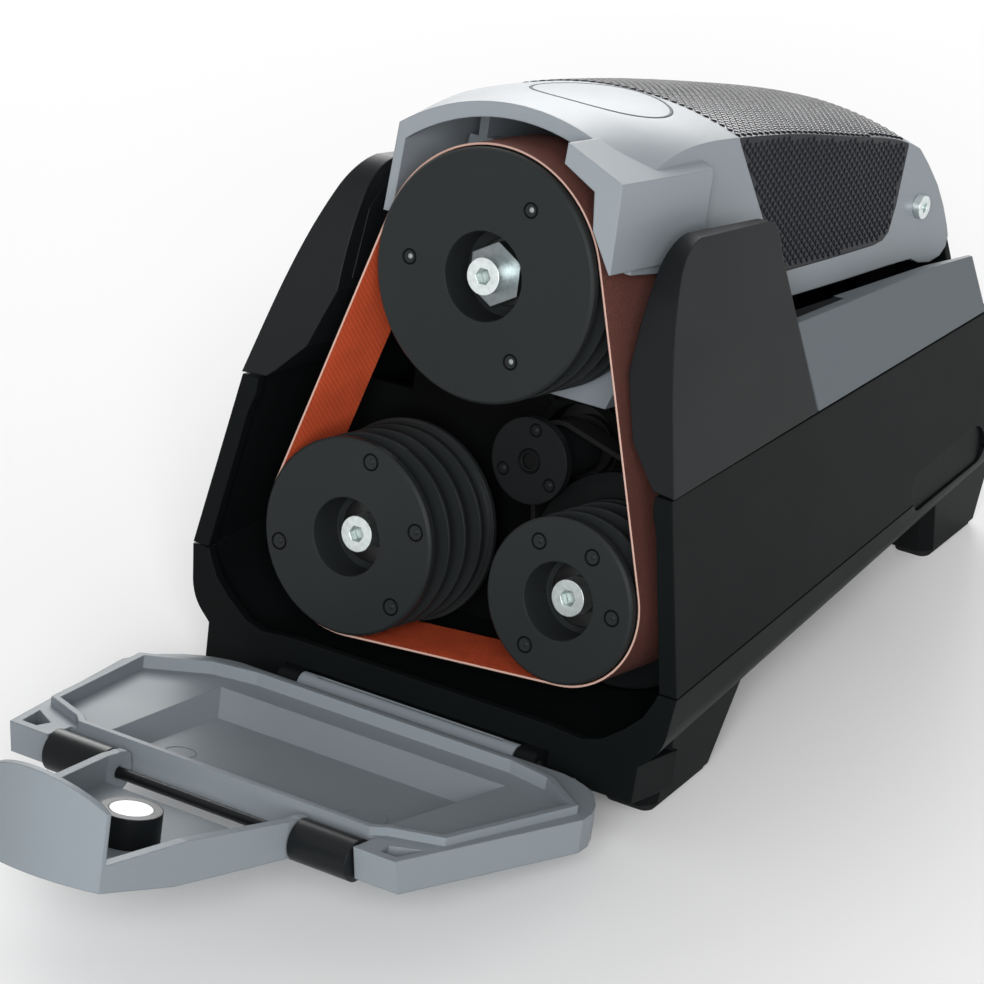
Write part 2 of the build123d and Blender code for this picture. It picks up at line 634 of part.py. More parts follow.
def arm_bracket():
    widest, high = TOP_Z + 4.7, TOP_Z + 20.7
    plate = front_prism(
        [
            (-BRACKET_HALF + 2, high), (-BRACKET_HALF, widest), (-14, TOP_Z - 11.3), (-9, BRACKET_FOOT_Z), (17, BRACKET_FOOT_Z),
            (21, TOP_Z - 15.3), (BRACKET_HALF, widest), (BRACKET_HALF - 2, high),
        ],
        BRACKET_Y, BRACKET_Y + BRACKET_T,
    )
    plate = plate + rod_y(TOP_X, TOP_Z, BRACKET_HUB_R, ROLLER_FRONT + ROLLER_LENGTH + 0.6, BRACKET_Y)
    plate = plate - rod_y(TOP_X, TOP_Z, AXLE_R + SHAFT_GAP, 0, BRACKET_Y + BRACKET_T + 1)
    web = brick(WEB_X - WEB_T, WEB_X, BRACKET_Y, BRACKET_Y + WEB_L, widest, high + 6)
    webs = web + mirrored(web)
    room = arm_body(side_wall=ARM_WALL - 0.6 + FIT_GAP, roof=ARM_WALL + FIT_GAP, drop=40.0, extra=0.5)
    return (plate + webs) & room - guide_block(FIT_GAP)


def pivot_pin():
    return rod_x(ARM_PIVOT_Y, ARM_PIVOT_Z, PIN_R, -PIVOT_SEAT_X + 0.1, PIVOT_SEAT_X - 0.1)


def pivot_screws():
    head = rod_x(ARM_PIVOT_Y, ARM_PIVOT_Z, SCREW_SEAT_R, PIVOT_SEAT_X, PIVOT_SEAT_X + 1.7)
    socket = rod_x(ARM_PIVOT_Y, ARM_PIVOT_Z, 1.1, PIVOT_SEAT_X + 0.6, PIVOT_SEAT_X + 2.7)
    screw = (head - socket).solid()
    return Compound(children=[screw, mirrored(screw).solid()])


# ---------------------------------------------------------------- well that the arm drops into
def arm_well():
    rim = brick(WELL_HALF, 60, WELL_FRONT, 200, WELL_FLOOR, BIG) - under_rise(WELL_DROP + WELL_RIM_T)
    wall_in = brick(WELL_HALF, WELL_HALF + WELL_T, WELL_FRONT, 200, WELL_FLOOR, BIG)
    half = lean(((rim + wall_in) & under_rise(WELL_DROP)) + brick(-0.1, WELL_HALF + WELL_T, WELL_FRONT, 200, WELL_FLOOR - WELL_T, WELL_FLOOR))
    half = half & envelope(PANEL_T + FIT_GAP) & brick(0, BIG, -BIG, BACK_Y - 1.0, -BIG, BIG) & lean(behind_wing())
    well = half + mirrored(half)
    post = rod_x(ARM_PIVOT_Y, ARM_PIVOT_Z, POST_R, POST_X, POST_X + POST_T)
    post = post + brick(POST_X, POST_X + POST_T, ARM_PIVOT_Y - POST_R, ARM_PIVOT_Y + POST_R, WELL_FLOOR - 1, ARM_PIVOT_Z)
    post = post - rod_x(ARM_PIVOT_Y, ARM_PIVOT_Z, PIN_R + SHAFT_GAP, 0, 60)
    well = well + lean(post) + mirrored(lean(post))
    cup = rod_z(SPRING_Y, WELL_FLOOR - 0.5, SPRING_R + 2.4, WELL_FLOOR + 3.0) - rod_z(SPRING_Y, WELL_FLOOR - 1, SPRING_R + 1.2, WELL_FLOOR + 4)
    return well + lean(cup)


def tension_spring():
    z0 = WELL_FLOOR + SPRING_WIRE + 0.1
    z1 = SPRING_TOP - SPRING_WIRE - 0.1
    turns = 6
    path = Edge.make_helix((z1 - z0) / turns, z1 - z0, SPRING_R)
    section = Face(Wire.make_circle(SPRING_WIRE, Plane(origin=path @ 0, z_dir=path % 0)))
    return Pos(0, SPRING_Y, z0) * Solid.sweep(section, path)


# ---------------------------------------------------------------- rollers and drive, deck frame
def roller(x, z, radius, hub, flange=0.0):
    """Hollow hub with thin rings that carry the belt; a flange behind the belt guides it."""
    y0, y1 = ROLLER_FRONT, ROLLER_FRONT + ROLLER_LENGTH
    body = rod_y(x, z, radius, y0, y1)
    body = chamfer(body.edges().filter_by(GeomType.CIRCLE), 0.5)
    for i in range(RINGS + 1):
        g0 = y0 + DISC_T + RING_PITCH * i
        g1 = min(g0 + RING_PITCH - RING_T, y1 - DISC_T)
        body = body - (rod_y(x, z, radius + 1, g0, g1) - rod_y(x, z, radius - GROOVE_DEPTH, g0, g1))
    if flange:
        back = BELT_FRONT + BELT_W + RUN_GAP
        body = body + rod_y(x, z, radius + flange, back, back + FLANGE_T)
    body = body - rod_y(x, z, hub, y0 - 1, y0 + HUB_DEPTH)
    body = body - rod_y(x, z, BEARING_R + SHAFT_GAP, y0, y0 + HUB_DEPTH + BEARING_W + 0.2)
    body = body - rod_y(x, z, BEARING_R + SHAFT_GAP, y1 - BEARING_W - 0.2, y1 + 1)
    return body - rod_y(x, z, BEARING_R - 1.2, y0, y1)


def bearings(x, z, y_end):
    made = []
    for y in (ROLLER_FRONT + HUB_DEPTH + 0.1, y_end - BEARING_W - 0.1):
        ring = rod_y(x, z, BEARING_R, y, y + BEARING_W) - rod_y(x, z, AXLE_R + SHAFT_GAP, y - 1, y + BEARING_W + 1)
        made.append(ring.solid())
    return Compound(children=made)


def axle(x, z, head_y, end_y, head_r=HEAD_R):
    bolt = rod_y(x, z, head_r, head_y, head_y + HEAD_T) + rod_y(x, z, AXLE_R, head_y, end_y)
    socket = front_prism([(x + SOCKET_AF / sqrt(3) * cos(radians(a)), z + SOCKET_AF / sqrt(3) * sin(radians(a))) for a in range(0, 360, 60)], head_y - 1, head_y + SOCKET_DEPTH)
    return bolt - socket


def tracking_block():
    y0 = ROLLER_FRONT + HEAD_T
    points = [(TOP_X + TRACK_AF / sqrt(3) * cos(radians(a)), TOP_Z + TRACK_AF / sqrt(3) * sin(radians(a))) for a in range(30, 390, 60)]
    block = front_prism(points, y0, ROLLER_FRONT + HUB_DEPTH - 0.2)
    return block - rod_y(TOP_X, TOP_Z, AXLE_R + SHAFT_GAP, y0 - 1, y0 + 10)


def drive_wheel():
    x, z = DRIVE_X, DRIVE_Z
    wheel = rod_y(x, z, WHEEL_R, WHEEL_FRONT, WHEEL_BACK)
    wheel = wheel + rod_y(x, z, WHEEL_FLANGE_R, WHEEL_FRONT, WHEEL_FRONT + WHEEL_FLANGE_T)
    wheel = wheel + rod_y(x, z, WHEEL_FLANGE_R, WHEEL_BACK - WHEEL_FLANGE_T, WHEEL_BACK)
    wheel = wheel - rod_y(x, z, WHEEL_R - 2.5, WHEEL_FRONT + 2.5, WHEEL_BACK + 1) + rod_y(x, z, BEARING_R, WHEEL_FRONT, WHEEL_BACK)
    for i in range(5):
        angle = 72 * i
        spoke = Pos(x, 0, z) * Rot(0, angle, 0) * brick(-1.0, 1.0, WHEEL_FRONT + 2, WHEEL_BACK - 1.5, BEARING_R - 1, WHEEL_R - 2)
        wheel = wheel + spoke
    return wheel - rod_y(x, z, AXLE_R + SHAFT_GAP, WHEEL_FRONT - 1, WHEEL_BACK + 1)


def motor_pulley():
    y0, y1 = PULLEY_FRONT, WHEEL_BACK
    pulley = rod_y(MOTOR_X, MOTOR_Z, PULLEY_R, y0, y1) + rod_y(MOTOR_X, MOTOR_Z, PULLEY_FLANGE_R, y0, y0 + PULLEY_FLANGE_T)
    return pulley - rod_y(MOTOR_X, MOTOR_Z, SHAFT_R + SHAFT_GAP, y0 - 1, y1 + 1)


def motor():
    y0 = BULKHEAD_Y + BULKHEAD_T
    can = rod_y(MOTOR_X, MOTOR_Z, MOTOR_R, y0, y0 + MOTOR_LENGTH)
    can = chamfer(can.edges().filter_by(GeomType.CIRCLE), 1.2)
    can = can + rod_y(MOTOR_X, MOTOR_Z, 6.0, y0 - 2.0, y0) + rod_y(MOTOR_X, MOTOR_Z, 7.0, y0 + MOTOR_LENGTH, y0 + MOTOR_LENGTH + 4)
    return can - rod_y(MOTOR_X, MOTOR_Z, SHAFT_R + SHAFT_GAP, y0 - 3, y0 + 12)


def motor_shaft():
    return rod_y(MOTOR_X, MOTOR_Z, SHAFT_R, PULLEY_FRONT + 0.4, BULKHEAD_Y + BULKHEAD_T + 10)


def loop(circles, gap, thickness, y0, y1, solid=False):
    """Flat belt around circles given as x, z, radius; solid fills the loop."""
    def hull(extra):
        flat = [Edge.make_circle(r + extra, Plane.XY.offset(0)).moved(Location((x, z, 0))) for x, z, r in circles]
        face = make_hull(flat)
        return Pos(0, y1, 0) * Rot(90, 0, 0) * extrude(face, amount=y1 - y0)
    return hull(gap + thickness) if solid else hull(gap + thickness) - hull(gap)


def bulkhead():
    y0, y1 = BULKHEAD_Y, BULKHEAD_Y + BULKHEAD_T
    plate = lean(brick(-BIG, BIG, y0, y1, -BIG, BULKHEAD_TOP)) & envelope(WALL + FIT_GAP)
    plate = unlean(plate)
    for side in (-1, 1):
        plate = plate - brick(min(side * BULKHEAD_NECK, side * BIG), max(side * BULKHEAD_NECK, side * BIG), 0, 60, BULKHEAD_SHOULDER, BIG)
    for x, z, y in ((LEFT_X, LEFT_Z, ROLLER_FRONT + ROLLER_LENGTH + 0.4), (DRIVE_X, DRIVE_Z, WHEEL_BACK + 0.4)):
        plate = plate + rod_y(x, z, 6.0, y, y0)
    for angle in range(0, 360, 45):
        rib = Pos(MOTOR_X, 0, MOTOR_Z) * Rot(0, angle, 0) * brick(-RIB_T / 2, RIB_T / 2, y0 - RIB_H, y0, 9.0, 15.0)
        plate = plate + rib
    plate = plate + (rod_y(MOTOR_X, MOTOR_Z, 10.6, y0 - 1.4, y0))
    plate = plate - rod_y(MOTOR_X, MOTOR_Z, 8.6, y0 - 4, y1 + 1)
    for x, z in ((LEFT_X, LEFT_Z), (DRIVE_X, DRIVE_Z)):
        plate = plate - rod_y(x, z, AXLE_R + SHAFT_GAP, y0 - 20, y1 + 1)
    return lean(plate)


# ---------------------------------------------------------------- rear cover, inlet, board, buttons
def rear_cover():
    outline, rounds = BACK_OUTLINE[:3] + [(CAP_HALF, CAP_Z)], BACK_ROUNDS[:4]

    def ring(extra, y):
        return section(outline, rounds, extra, lambda p: (p[0], y, p[1]))

    cap = ruled([ring(0, BACK_Y + SEAM), ring(1.2, BACK_Y + 0.6 * REAR_T)]) + ruled([ring(1.2, BACK_Y + 0.6 * REAR_T), ring(4.2, BACK_Y + REAR_T)])
    hollow = ruled([ring(WALL, BACK_Y), ring(WALL + 3.2, BACK_Y + REAR_T - 2.6)])
    cap = cap - hollow
    lip = side_prism(LIP_PROFILE, -60, 60) & front_prism(both_sides(LIP_OUTLINE), 120, 160)
    cap = cap + lean(lip)
    for i in range(6):
        for side in (-1, 1):
            x = side * (17.5 + 2.6 * i)
            cap = cap - brick(x - 0.7, x + 0.7, BACK_Y - 2, BACK_Y + REAR_T + 2, 22.0, 36.0)
    w, h = INLET_W / 2 + FIT_GAP, INLET_H / 2 + FIT_GAP
    return cap - brick(-w, w, BACK_Y - 2, BACK_Y + REAR_T + 2, INLET_Z - h, INLET_Z + h)


# lip of the rear cover that stands up behind the arm, deck frame
LIP_PROFILE = [
    (138.9, 84.2), (141.8, 84.2), (141.9, 83.4), (145.0, 83.4), (145.0, 84.9), (143.2, 85.8), (142.0, 88.5), (141.0, 95.0), (140.1, 100.1),
    (139.4, 100.0), (138.9, 98.8),
]
LIP_OUTLINE = [(33.3, 80.0), (33.3, 89.5), (30.3, 93.8), (28.3, 100.0), (26.0, 104.0)]


def power_inlet():
    y1 = BACK_Y + REAR_T + 0.6
    y0 = y1 - INLET_DEPTH
    body = brick(-INLET_W / 2, INLET_W / 2, y0, y1, INLET_Z - INLET_H / 2, INLET_Z + INLET_H / 2)
    lip = brick(-INLET_W / 2 - 1.5, INLET_W / 2 + 1.5, BACK_Y + REAR_T + 0.1, y1, INLET_Z - INLET_H / 2 - 1.5, INLET_Z + INLET_H / 2 + 1.5)
    w, h = INLET_W / 2 - INLET_WALL, INLET_H / 2 - INLET_WALL
    cavity = brick(-w, w, y0 + 2.5, y1 + 1, INLET_Z - h, INLET_Z + h)
    holes = rod_y(-INLET_PIN_X, INLET_Z, INLET_PIN_R + SHAFT_GAP, y0 - 1, y1) + rod_y(INLET_PIN_X, INLET_Z, INLET_PIN_R + SHAFT_GAP, y0 - 1, y1)
    return body + lip - cavity - holes


def inlet_pins():
    y1 = BACK_Y + REAR_T - 1.0
    y0 = BACK_Y + REAR_T + 0.6 - INLET_DEPTH - 3.0
    return Compound(children=[rod_y(s * INLET_PIN_X, INLET_Z, INLET_PIN_R, y0, y1).solid() for s in (-1, 1)])


def panel_frame(y, z):
    """Plane on the left shoulder's outer face at one deck y, z; its normal points outwards."""
    x = SEAM_HALF - LEAN_IN * (z - SEAM_Z) - TAPER * (y - FRONT_Y)
    return Plane(origin=(-x, y, z), x_dir=(0, 1, 0), z_dir=(-1, TAPER, LEAN_IN))


def button(y, radius):
    down = (Align.CENTER, Align.CENTER, Align.MAX)
    stem = Cylinder(radius, BUTTON_PROUD + PANEL_T + RUN_GAP + BUTTON_LIP_T, align=down)
    stem = chamfer(stem.edges().filter_by(GeomType.CIRCLE).sort_by(Axis.Z)[-1], 0.6)
    lip = Pos(0, 0, -PANEL_T - RUN_GAP - BUTTON_PROUD) * Cylinder(radius + BUTTON_LIP, BUTTON_LIP_T, align=down)
    return panel_frame(y, BUTTON_Z) * (Pos(0, 0, BUTTON_PROUD) * (stem + lip))


def button_hole(y, radius):
    return panel_frame(y, BUTTON_Z) * Cylinder(radius + RUN_GAP, 20)


def control_board():
    top = WELL_FLOOR - WELL_T - BOARD_GAP
    board = brick(BOARD_X0, BOARD_X1, BOARD_Y0, BOARD_Y1, top - BOARD_T, top)
    for x, y, w, d, h in BOARD_ITEMS:
        board = board + brick(x - w / 2, x + w / 2, y - d / 2, y + d / 2, top - BOARD_T - h, top - BOARD_T + 0.1)
    for x in (BOARD_X0 + 3, BOARD_X1 - 3):
        for y in (BOARD_Y0 + 3, BOARD_Y1 - 3):
            board = board + Pos(x, y, top - 0.1) * Cylinder(2.2, BOARD_GAP + 0.1 - SHAFT_GAP, align=UP)
    return board


# ---------------------------------------------------------------- front cover, deck frame, open
def cover_panel():
    rim = both_sides(RIM_OUTLINE)
    flange = plan_prism(both_sides(COVER_OUTLINE), COVER_UNDER, COVER_TOP)
    flange = flange - side_prism([(COVER_FAR_LOW, COVER_UNDER), (COVER_FAR - 1, COVER_UNDER), (COVER_FAR - 1, COVER_TOP), (COVER_FAR, COVER_TOP)], -60, 60)
    body = flange + plan_prism(rim, COVER_UNDER + 1, RIM_TOP) - plan_prism(inset(rim, RIM_T), LEDGE_Z, RIM_TOP + 1)
    top = [(-33.5, -19.8, LEDGE_Z), (33.5, -19.8, LEDGE_Z), (30.5, NOTCH_Y + 2.0, LEDGE_Z), (-30.5, NOTCH_Y + 2.0, LEDGE_Z)]
    low = [(-28.5, -26.8, RECESS_Z), (28.5, -26.8, RECESS_Z), (27.0, NOTCH_Y + 2.4, RECESS_Z), (-27.0, NOTCH_Y + 2.4, RECESS_Z)]
    body = body - ruled([ring_wire(low), ring_wire(top)])
    notch = SLEEVE_OUT + RUN_GAP
    body = body - brick(-notch, notch, COVER_FAR - 1, NOTCH_Y, 0, 30)
    pocket = plan_prism([(38.6, -66.0), (44.2, -62.4), (42.6, -69.4), (39.2, -69.4)], COVER_TOP - 3.5, COVER_TOP + 5)
    body = body - pocket - mirrored(pocket)
    web = brick(-HINGE_BAR_HALF, HINGE_BAR_HALF, COVER_BACK - 1.5, HINGE_Y, HINGE_Z - 2.2, HINGE_Z - 0.2)
    bar = rod_x(HINGE_Y, HINGE_Z, HINGE_R, -HINGE_BAR_HALF, HINGE_BAR_HALF)
    body = body + web + bar
    body = body - brick(-22.0, 22.0, HINGE_Y - 0.6, HINGE_Y + 1.2, HINGE_Z + 0.6, HINGE_Z + 4)
    body = body - rod_x(HINGE_Y, HINGE_Z, HINGE_PIN_R + SHAFT_GAP, -60, 60)
    return body - rod_x(FLAP_AXIS_Y, FLAP_AXIS_Z, ROD_R + SHAFT_GAP, -ROD_HALF - FIT_GAP, ROD_HALF + FIT_GAP)


def cover_hinge_pin():
    return rod_x(HINGE_Y, HINGE_Z, HINGE_PIN_R, -HINGE_BAR_HALF - KNUCKLE_L + 0.3, HINGE_BAR_HALF + KNUCKLE_L - 0.3)


def flap_sleeves():
    made = []
    for x0, x1 in ((-SLEEVE_OUT, -SLEEVE_IN), (SLEEVE_IN, SLEEVE_OUT)):
        tube = rod_x(FLAP_AXIS_Y, FLAP_AXIS_Z, SLEEVE_R, x0, x1) - rod_x(FLAP_AXIS_Y, FLAP_AXIS_Z, ROD_R + SHAFT_GAP, x0 - 1, x1 + 1)
        made.append(tube.solid())
    return Compound(children=made)


def flap_rod():
    return rod_x(FLAP_AXIS_Y, FLAP_AXIS_Z, ROD_R, -ROD_HALF, ROD_HALF)


def tip_arc(y, half, sag, z):
    """Plan arc of the flap's end wall."""
    return Edge.make_three_point_arc((half, y + sag, z), (0, y, z), (-half, y + sag, z))


def latch_flap():
    mid_y, tip = -99.0, FLAP_TIP_Y
    profile = side_prism([
        (-66.4, COVER_UNDER), (mid_y, COVER_UNDER), (tip - 1, 8.2), (tip - 1, 40.0), (tip + TIP_SAG + 0.9, 40.0),
        (tip + TIP_SAG + 0.9, 12.6), (mid_y + 2, 13.6), (-67.0, 12.4), (-65.6, 11.6), (-65.6, COVER_UNDER + 1.1),
    ], -60, 60)
    body = flap_plan(0, 40, 0.0, -65.6) & profile
    hollow = flap_plan(RECESS_Z, 40, FLAP_WALL, -60.0) & side_prism([
        (-60, RECESS_Z), (mid_y, RECESS_Z), (tip, 10.2), (tip, 40), (-60, 40)], -60, 60)
    body = body - hollow - shut_belt_room()
    body = body - brick(-FLAP_HALF + FLAP_WALL, FLAP_HALF - FLAP_WALL, -72.6, -60, 0, 20)
    body = body - arch_cut()
    eye = rod_x(FLAP_AXIS_Y, FLAP_AXIS_Z, SLEEVE_R, FLAP_HALF - FLAP_WALL, FLAP_HALF)
    body = body + eye + mirrored(eye)
    return body - rod_x(FLAP_AXIS_Y, FLAP_AXIS_Z, ROD_R + SHAFT_GAP, -60, 60)


def shut_belt_room():
    """Where the top of the sanding belt comes to stand in the flap once the cover is shut."""
    low = BELT_FRONT - 2 * RUN_GAP - HINGE_Y + HINGE_Z
    return Pos(TOP_X, MAGNET_Y, low) * Cylinder(TOP_R + BELT_T + 3 * RUN_GAP, BIG, align=UP)


def flap_plan(z0, z1, edge, back):
    """Flap outline in plan, moved in by edge: tapered sides and a bowed end wall."""
    half, tip_half = FLAP_HALF - edge, FLAP_TIP_HALF - edge
    tip = FLAP_TIP_Y + edge
    edges = [
        Edge.make_line((half, back, z0), (half, -72.6, z0)),
        Edge.make_line((half, -72.6, z0), (tip_half, tip + TIP_SAG, z0)),
        tip_arc(tip, tip_half, TIP_SAG, z0),
        Edge.make_line((-tip_half, tip + TIP_SAG, z0), (-half, -72.6, z0)),
        Edge.make_line((-half, -72.6, z0), (-half, back, z0)),
        Edge.make_line((-half, back, z0), (half, back, z0)),
    ]
    return extrude(make_face(Wire(edges)), amount=z1 - z0, dir=(0, 0, 1))


def arch_cut():
    """Everything above the arched top of the flap's end wall."""
    y0 = -130.0
    edges = [
        Edge.make_three_point_arc((FLAP_TIP_HALF + 0.5, y0, TIP_CORNER_Z), (0, y0, TIP_CROWN_Z), (-FLAP_TIP_HALF - 0.5, y0, TIP_CORNER_Z)),
        Edge.make_line((-FLAP_TIP_HALF - 0.5, y0, TIP_CORNER_Z), (-60, y0, TIP_CORNER_Z)),
        Edge.make_line((-60, y0, TIP_CORNER_Z), (-60, y0, 60)),
        Edge.make_line((-60, y0, 60), (60, y0, 60)),
        Edge.make_line((60, y0, 60), (60, y0, TIP_CORNER_Z)),
        Edge.make_line((60, y0, TIP_CORNER_Z), (FLAP_TIP_HALF + 0.5, y0, TIP_CORNER_Z)),
    ]
    return extrude(make_face(Wire(edges)), amount=40, dir=(0, 1, 0))


def magnet_holder():
    cup = Pos(TOP_X, MAGNET_Y, RECESS_Z) * Cylinder(HOLDER_R, HOLDER_TOP - RECESS_Z, align=UP)
    return cup - Pos(TOP_X, MAGNET_Y, HOLDER_TOP - MAGNET_T) * Cylinder(MAGNET_R + SHAFT_GAP, 10, align=UP)


def magnet():
    return Pos(TOP_X, MAGNET_Y, HOLDER_TOP - MAGNET_T) * Cylinder(MAGNET_R, MAGNET_T, align=UP)


# ---------------------------------------------------------------- assembly
def build():
    parts = {}
    parts["base_tray"] = base()
    parts["base_screws"] = base_screws()
    for name, corner in FEET.items():
        parts[f"{name}_foot_pad_right"] = pad(*corner)
        parts[f"{name}_foot_pad_left"] = mirrored(pad(*corner))
    panel = side_panel()
    parts["side_panel_right"] = panel
    parts["side_panel_left"] = mirrored(panel)
    plate = badge_slab(0, BADGE_T, 0)
    parts["side_badge_right"] = plate
    parts["side_badge_left"] = mirrored(plate)
    guide = wing()
    parts["guide_wing_right"] = guide
    parts["guide_wing_left"] = mirrored(guide)
    parts["slot_liner_right"] = slot_liner()
    parts["slot_liner_left"] = mirrored(slot_liner())
    side = shoulder()
    parts["shoulder_panel_right"] = side
    holes = lean(button_hole(POWER_Y, POWER_R) + button_hole(SPEED_Y, SPEED_R))
    parts["shoulder_panel_left"] = mirrored(side) - holes
    parts["arm_well"] = arm_well()
    parts["bulkhead"] = bulkhead()
    parts["rear_cover"] = rear_cover()
    parts["power_inlet"] = power_inlet()
    parts["inlet_pins"] = inlet_pins()
    parts["control_board"] = lean(control_board())
    parts["power_button"] = lean(button(POWER_Y, POWER_R))
    parts["speed_button"] = lean(button(SPEED_Y, SPEED_R))

    shell, grip = arm_parts()
    parts["arm_shell"] = lean(shell)
    parts["grip_insert"] = lean(grip)
    parts["arm_bracket"] = lean(arm_bracket())
    parts["arm_pivot_pin"] = lean(pivot_pin())
    parts["arm_pivot_screws"] = lean(pivot_screws())
    parts["tension_spring"] = lean(tension_spring())

    y_end = ROLLER_FRONT + ROLLER_LENGTH
    parts["top_roller"] = lean(roller(TOP_X, TOP_Z, TOP_R, TOP_HUB_R))
    parts["top_roller_bearings"] = lean(bearings(TOP_X, TOP_Z, y_end))
    parts["top_axle_bolt"] = lean(axle(TOP_X, TOP_Z, ROLLER_FRONT, BRACKET_Y + BRACKET_T))
    parts["tracking_block"] = lean(tracking_block())
    parts["left_roller"] = lean(roller(LEFT_X, LEFT_Z, LEFT_R, LEFT_HUB_R, FLANGE_R))
    parts["left_roller_bearings"] = lean(bearings(LEFT_X, LEFT_Z, y_end))
    parts["left_axle_bolt"] = lean(axle(LEFT_X, LEFT_Z, ROLLER_FRONT + 3.4, BULKHEAD_Y + BULKHEAD_T))
    parts["drive_roller"] = lean(roller(DRIVE_X, DRIVE_Z, DRIVE_R, DRIVE_HUB_R))
    parts["drive_roller_bearings"] = lean(bearings(DRIVE_X, DRIVE_Z, y_end))
    parts["drive_axle_bolt"] = lean(axle(DRIVE_X, DRIVE_Z, ROLLER_FRONT + 3.4, BULKHEAD_Y + BULKHEAD_T))
    parts["drive_wheel"] = lean(drive_wheel())
    parts["motor_pulley"] = lean(motor_pulley())
    parts["motor_shaft"] = lean(motor_shaft())
    parts["motor"] = lean(motor())
    parts["sanding_belt"] = lean(loop(ROLLERS, RUN_GAP, BELT_T, BELT_FRONT, BELT_FRONT + BELT_W))
    pulleys = [(MOTOR_X, MOTOR_Z, PULLEY_R), (DRIVE_X, DRIVE_Z, WHEEL_R)]
    belt_y = WHEEL_FRONT + WHEEL_FLANGE_T + 0.3
    parts["drive_belt"] = lean(loop(pulleys, RUN_GAP, DRIVE_BELT_T, belt_y, belt_y + DRIVE_BELT_W))

    parts["cover_panel"] = lean(cover_panel())
    parts["cover_hinge_pin"] = lean(cover_hinge_pin())
    parts["flap_sleeves"] = lean(flap_sleeves())
    parts["flap_rod"] = lean(flap_rod())
    parts["latch_flap"] = lean(latch_flap())
    parts["magnet_holder"] = lean(magnet_holder())
    parts["magnet"] = lean(magnet())
    return parts


def main():
    os.makedirs("parts", exist_ok=True)
    parts = build()
    box = Compound(children=[s for p in parts.values() for s in p.solids()]).bounding_box()
    y_shift = -(box.min.Y + box.max.Y) / 2
    for name, shape in parts.items():
        pieces = [s.moved(Location((0, y_shift, 0))) for s in shape.solids()]
        whole = pieces[0] if len(pieces) == 1 else Compound(children=pieces)
        export_step(whole, f"parts/{name}.step")
    print("y shift", round(y_shift, 4), "size", box.size)


main()
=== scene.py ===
import math

import bmesh
import bpy
from mathutils import Matrix, Vector
from mathutils.bvhtree import BVHTree


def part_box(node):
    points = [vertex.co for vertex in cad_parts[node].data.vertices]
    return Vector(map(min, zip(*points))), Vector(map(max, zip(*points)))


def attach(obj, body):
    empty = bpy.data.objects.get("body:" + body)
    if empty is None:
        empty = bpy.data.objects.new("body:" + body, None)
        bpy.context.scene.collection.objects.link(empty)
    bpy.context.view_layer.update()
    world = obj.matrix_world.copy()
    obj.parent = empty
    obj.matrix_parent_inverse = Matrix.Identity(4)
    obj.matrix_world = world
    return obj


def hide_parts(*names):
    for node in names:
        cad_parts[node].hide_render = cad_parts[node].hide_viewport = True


bl_info = {
    "name": "Belt knife sharpener dressing",
    "version": (1, 0, 0),
    "blender": (4, 5, 0),
    "location": "3D View > Sidebar > Sharpener",
    "description": "Builds the finishes and the fine pieces of a belt knife sharpener round its CAD frame",
    "category": "Object",
}

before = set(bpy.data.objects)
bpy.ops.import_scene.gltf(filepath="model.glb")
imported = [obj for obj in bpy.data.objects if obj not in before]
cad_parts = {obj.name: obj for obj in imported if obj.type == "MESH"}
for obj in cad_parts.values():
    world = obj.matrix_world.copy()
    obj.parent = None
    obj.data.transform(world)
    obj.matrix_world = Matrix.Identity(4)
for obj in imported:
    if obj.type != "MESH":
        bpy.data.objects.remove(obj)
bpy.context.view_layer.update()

MM = 0.001
MICRON = 0.000001

# ---------------------------------------------------------------- sizes, in millimetres of the leaning deck frame
LEAN = math.radians(13.65)
PAD_FRONT = 11.5

# x, z and radius of what turns
TOP_ROLLER = (1.0, 99.3, 24.5)
LEFT_ROLLER = (-22.2, 41.3, 19.8)
DRIVE_ROLLER = (27.3, 41.9, 16.3)
MOTOR_PULLEY = (8.5, 62.7, 5.2)

# y of the front faces of the rollers, the pulley and the bolt heads, and z of the cover's inner face
ROLLER_FRONT = 0.3
PULLEY_FRONT = 14.0
TOP_HEAD = 0.3
LOW_HEAD = 3.7
COVER_FLOOR = 7.5

# sanding belt: steps round a roller, pitch of the cloth's ribs and cross threads, slant of the ribs, material slots
BELT_STEPS = 48
RIB_PITCH, PICK_PITCH = 0.5, 0.9
RIB_ANGLE = math.radians(38)
GRIT, CLOTH, EDGE = range(3)

# angle, in radians, from which an edge between two faces stays sharp
SHARP, STUD_SHARP, RIB_SHARP = 0.6, 0.2, 0.9

# field of the studs along the arm, up its sides and across its top
GRIP_FRONT, GRIP_BACK = 48.0, 124.0
GRIP_LOW, GRIP_TOP = 98.0, 131.0
GRIP_HALF = 26.5

# where the search lines for the arm's skin start, beside the arm and above it
BESIDE, ABOVE = 60.0, 160.0

# studs: sides, reach of the skin past the middle and depth in the skin, in metres
STUD_SIDES = 4
STUD_MARGIN = 0.85 * MM
STUD_SINK = 0.06 * MM
# radius of a stud's base, and of its flat at the sides and on top of the grip, as shares of its length and width
STUD_BASE, SIDE_FLAT, TOP_FLAT = 0.5, 0.20, 0.34
# a stud stands where the skin faces the search line, has the same depth all round and doesn't bend
STUD_FACING = 0.75
STUD_SLOPE = 0.6
STUD_FLATNESS = 0.9

# plain oval on the arm's crown, a line whose dark colour is the painted shade of a groove: centre, half length, half
# width, half width of the line, its depth and its height
OVAL_PLACE = (1.5, 33.8)
OVAL_HALF_X, OVAL_HALF_Y = 14.3, 12.5
OVAL_WIDTH = 0.4
OVAL_SINK, OVAL_LIFT = 0.02, 0.07
OVAL_STEPS = 96

# raised rings of the mould marks: steps round, depth in the face, share of the half width that is flat on top
RING_STEPS = 28
RING_SINK = 0.05
RING_FLAT = 0.5
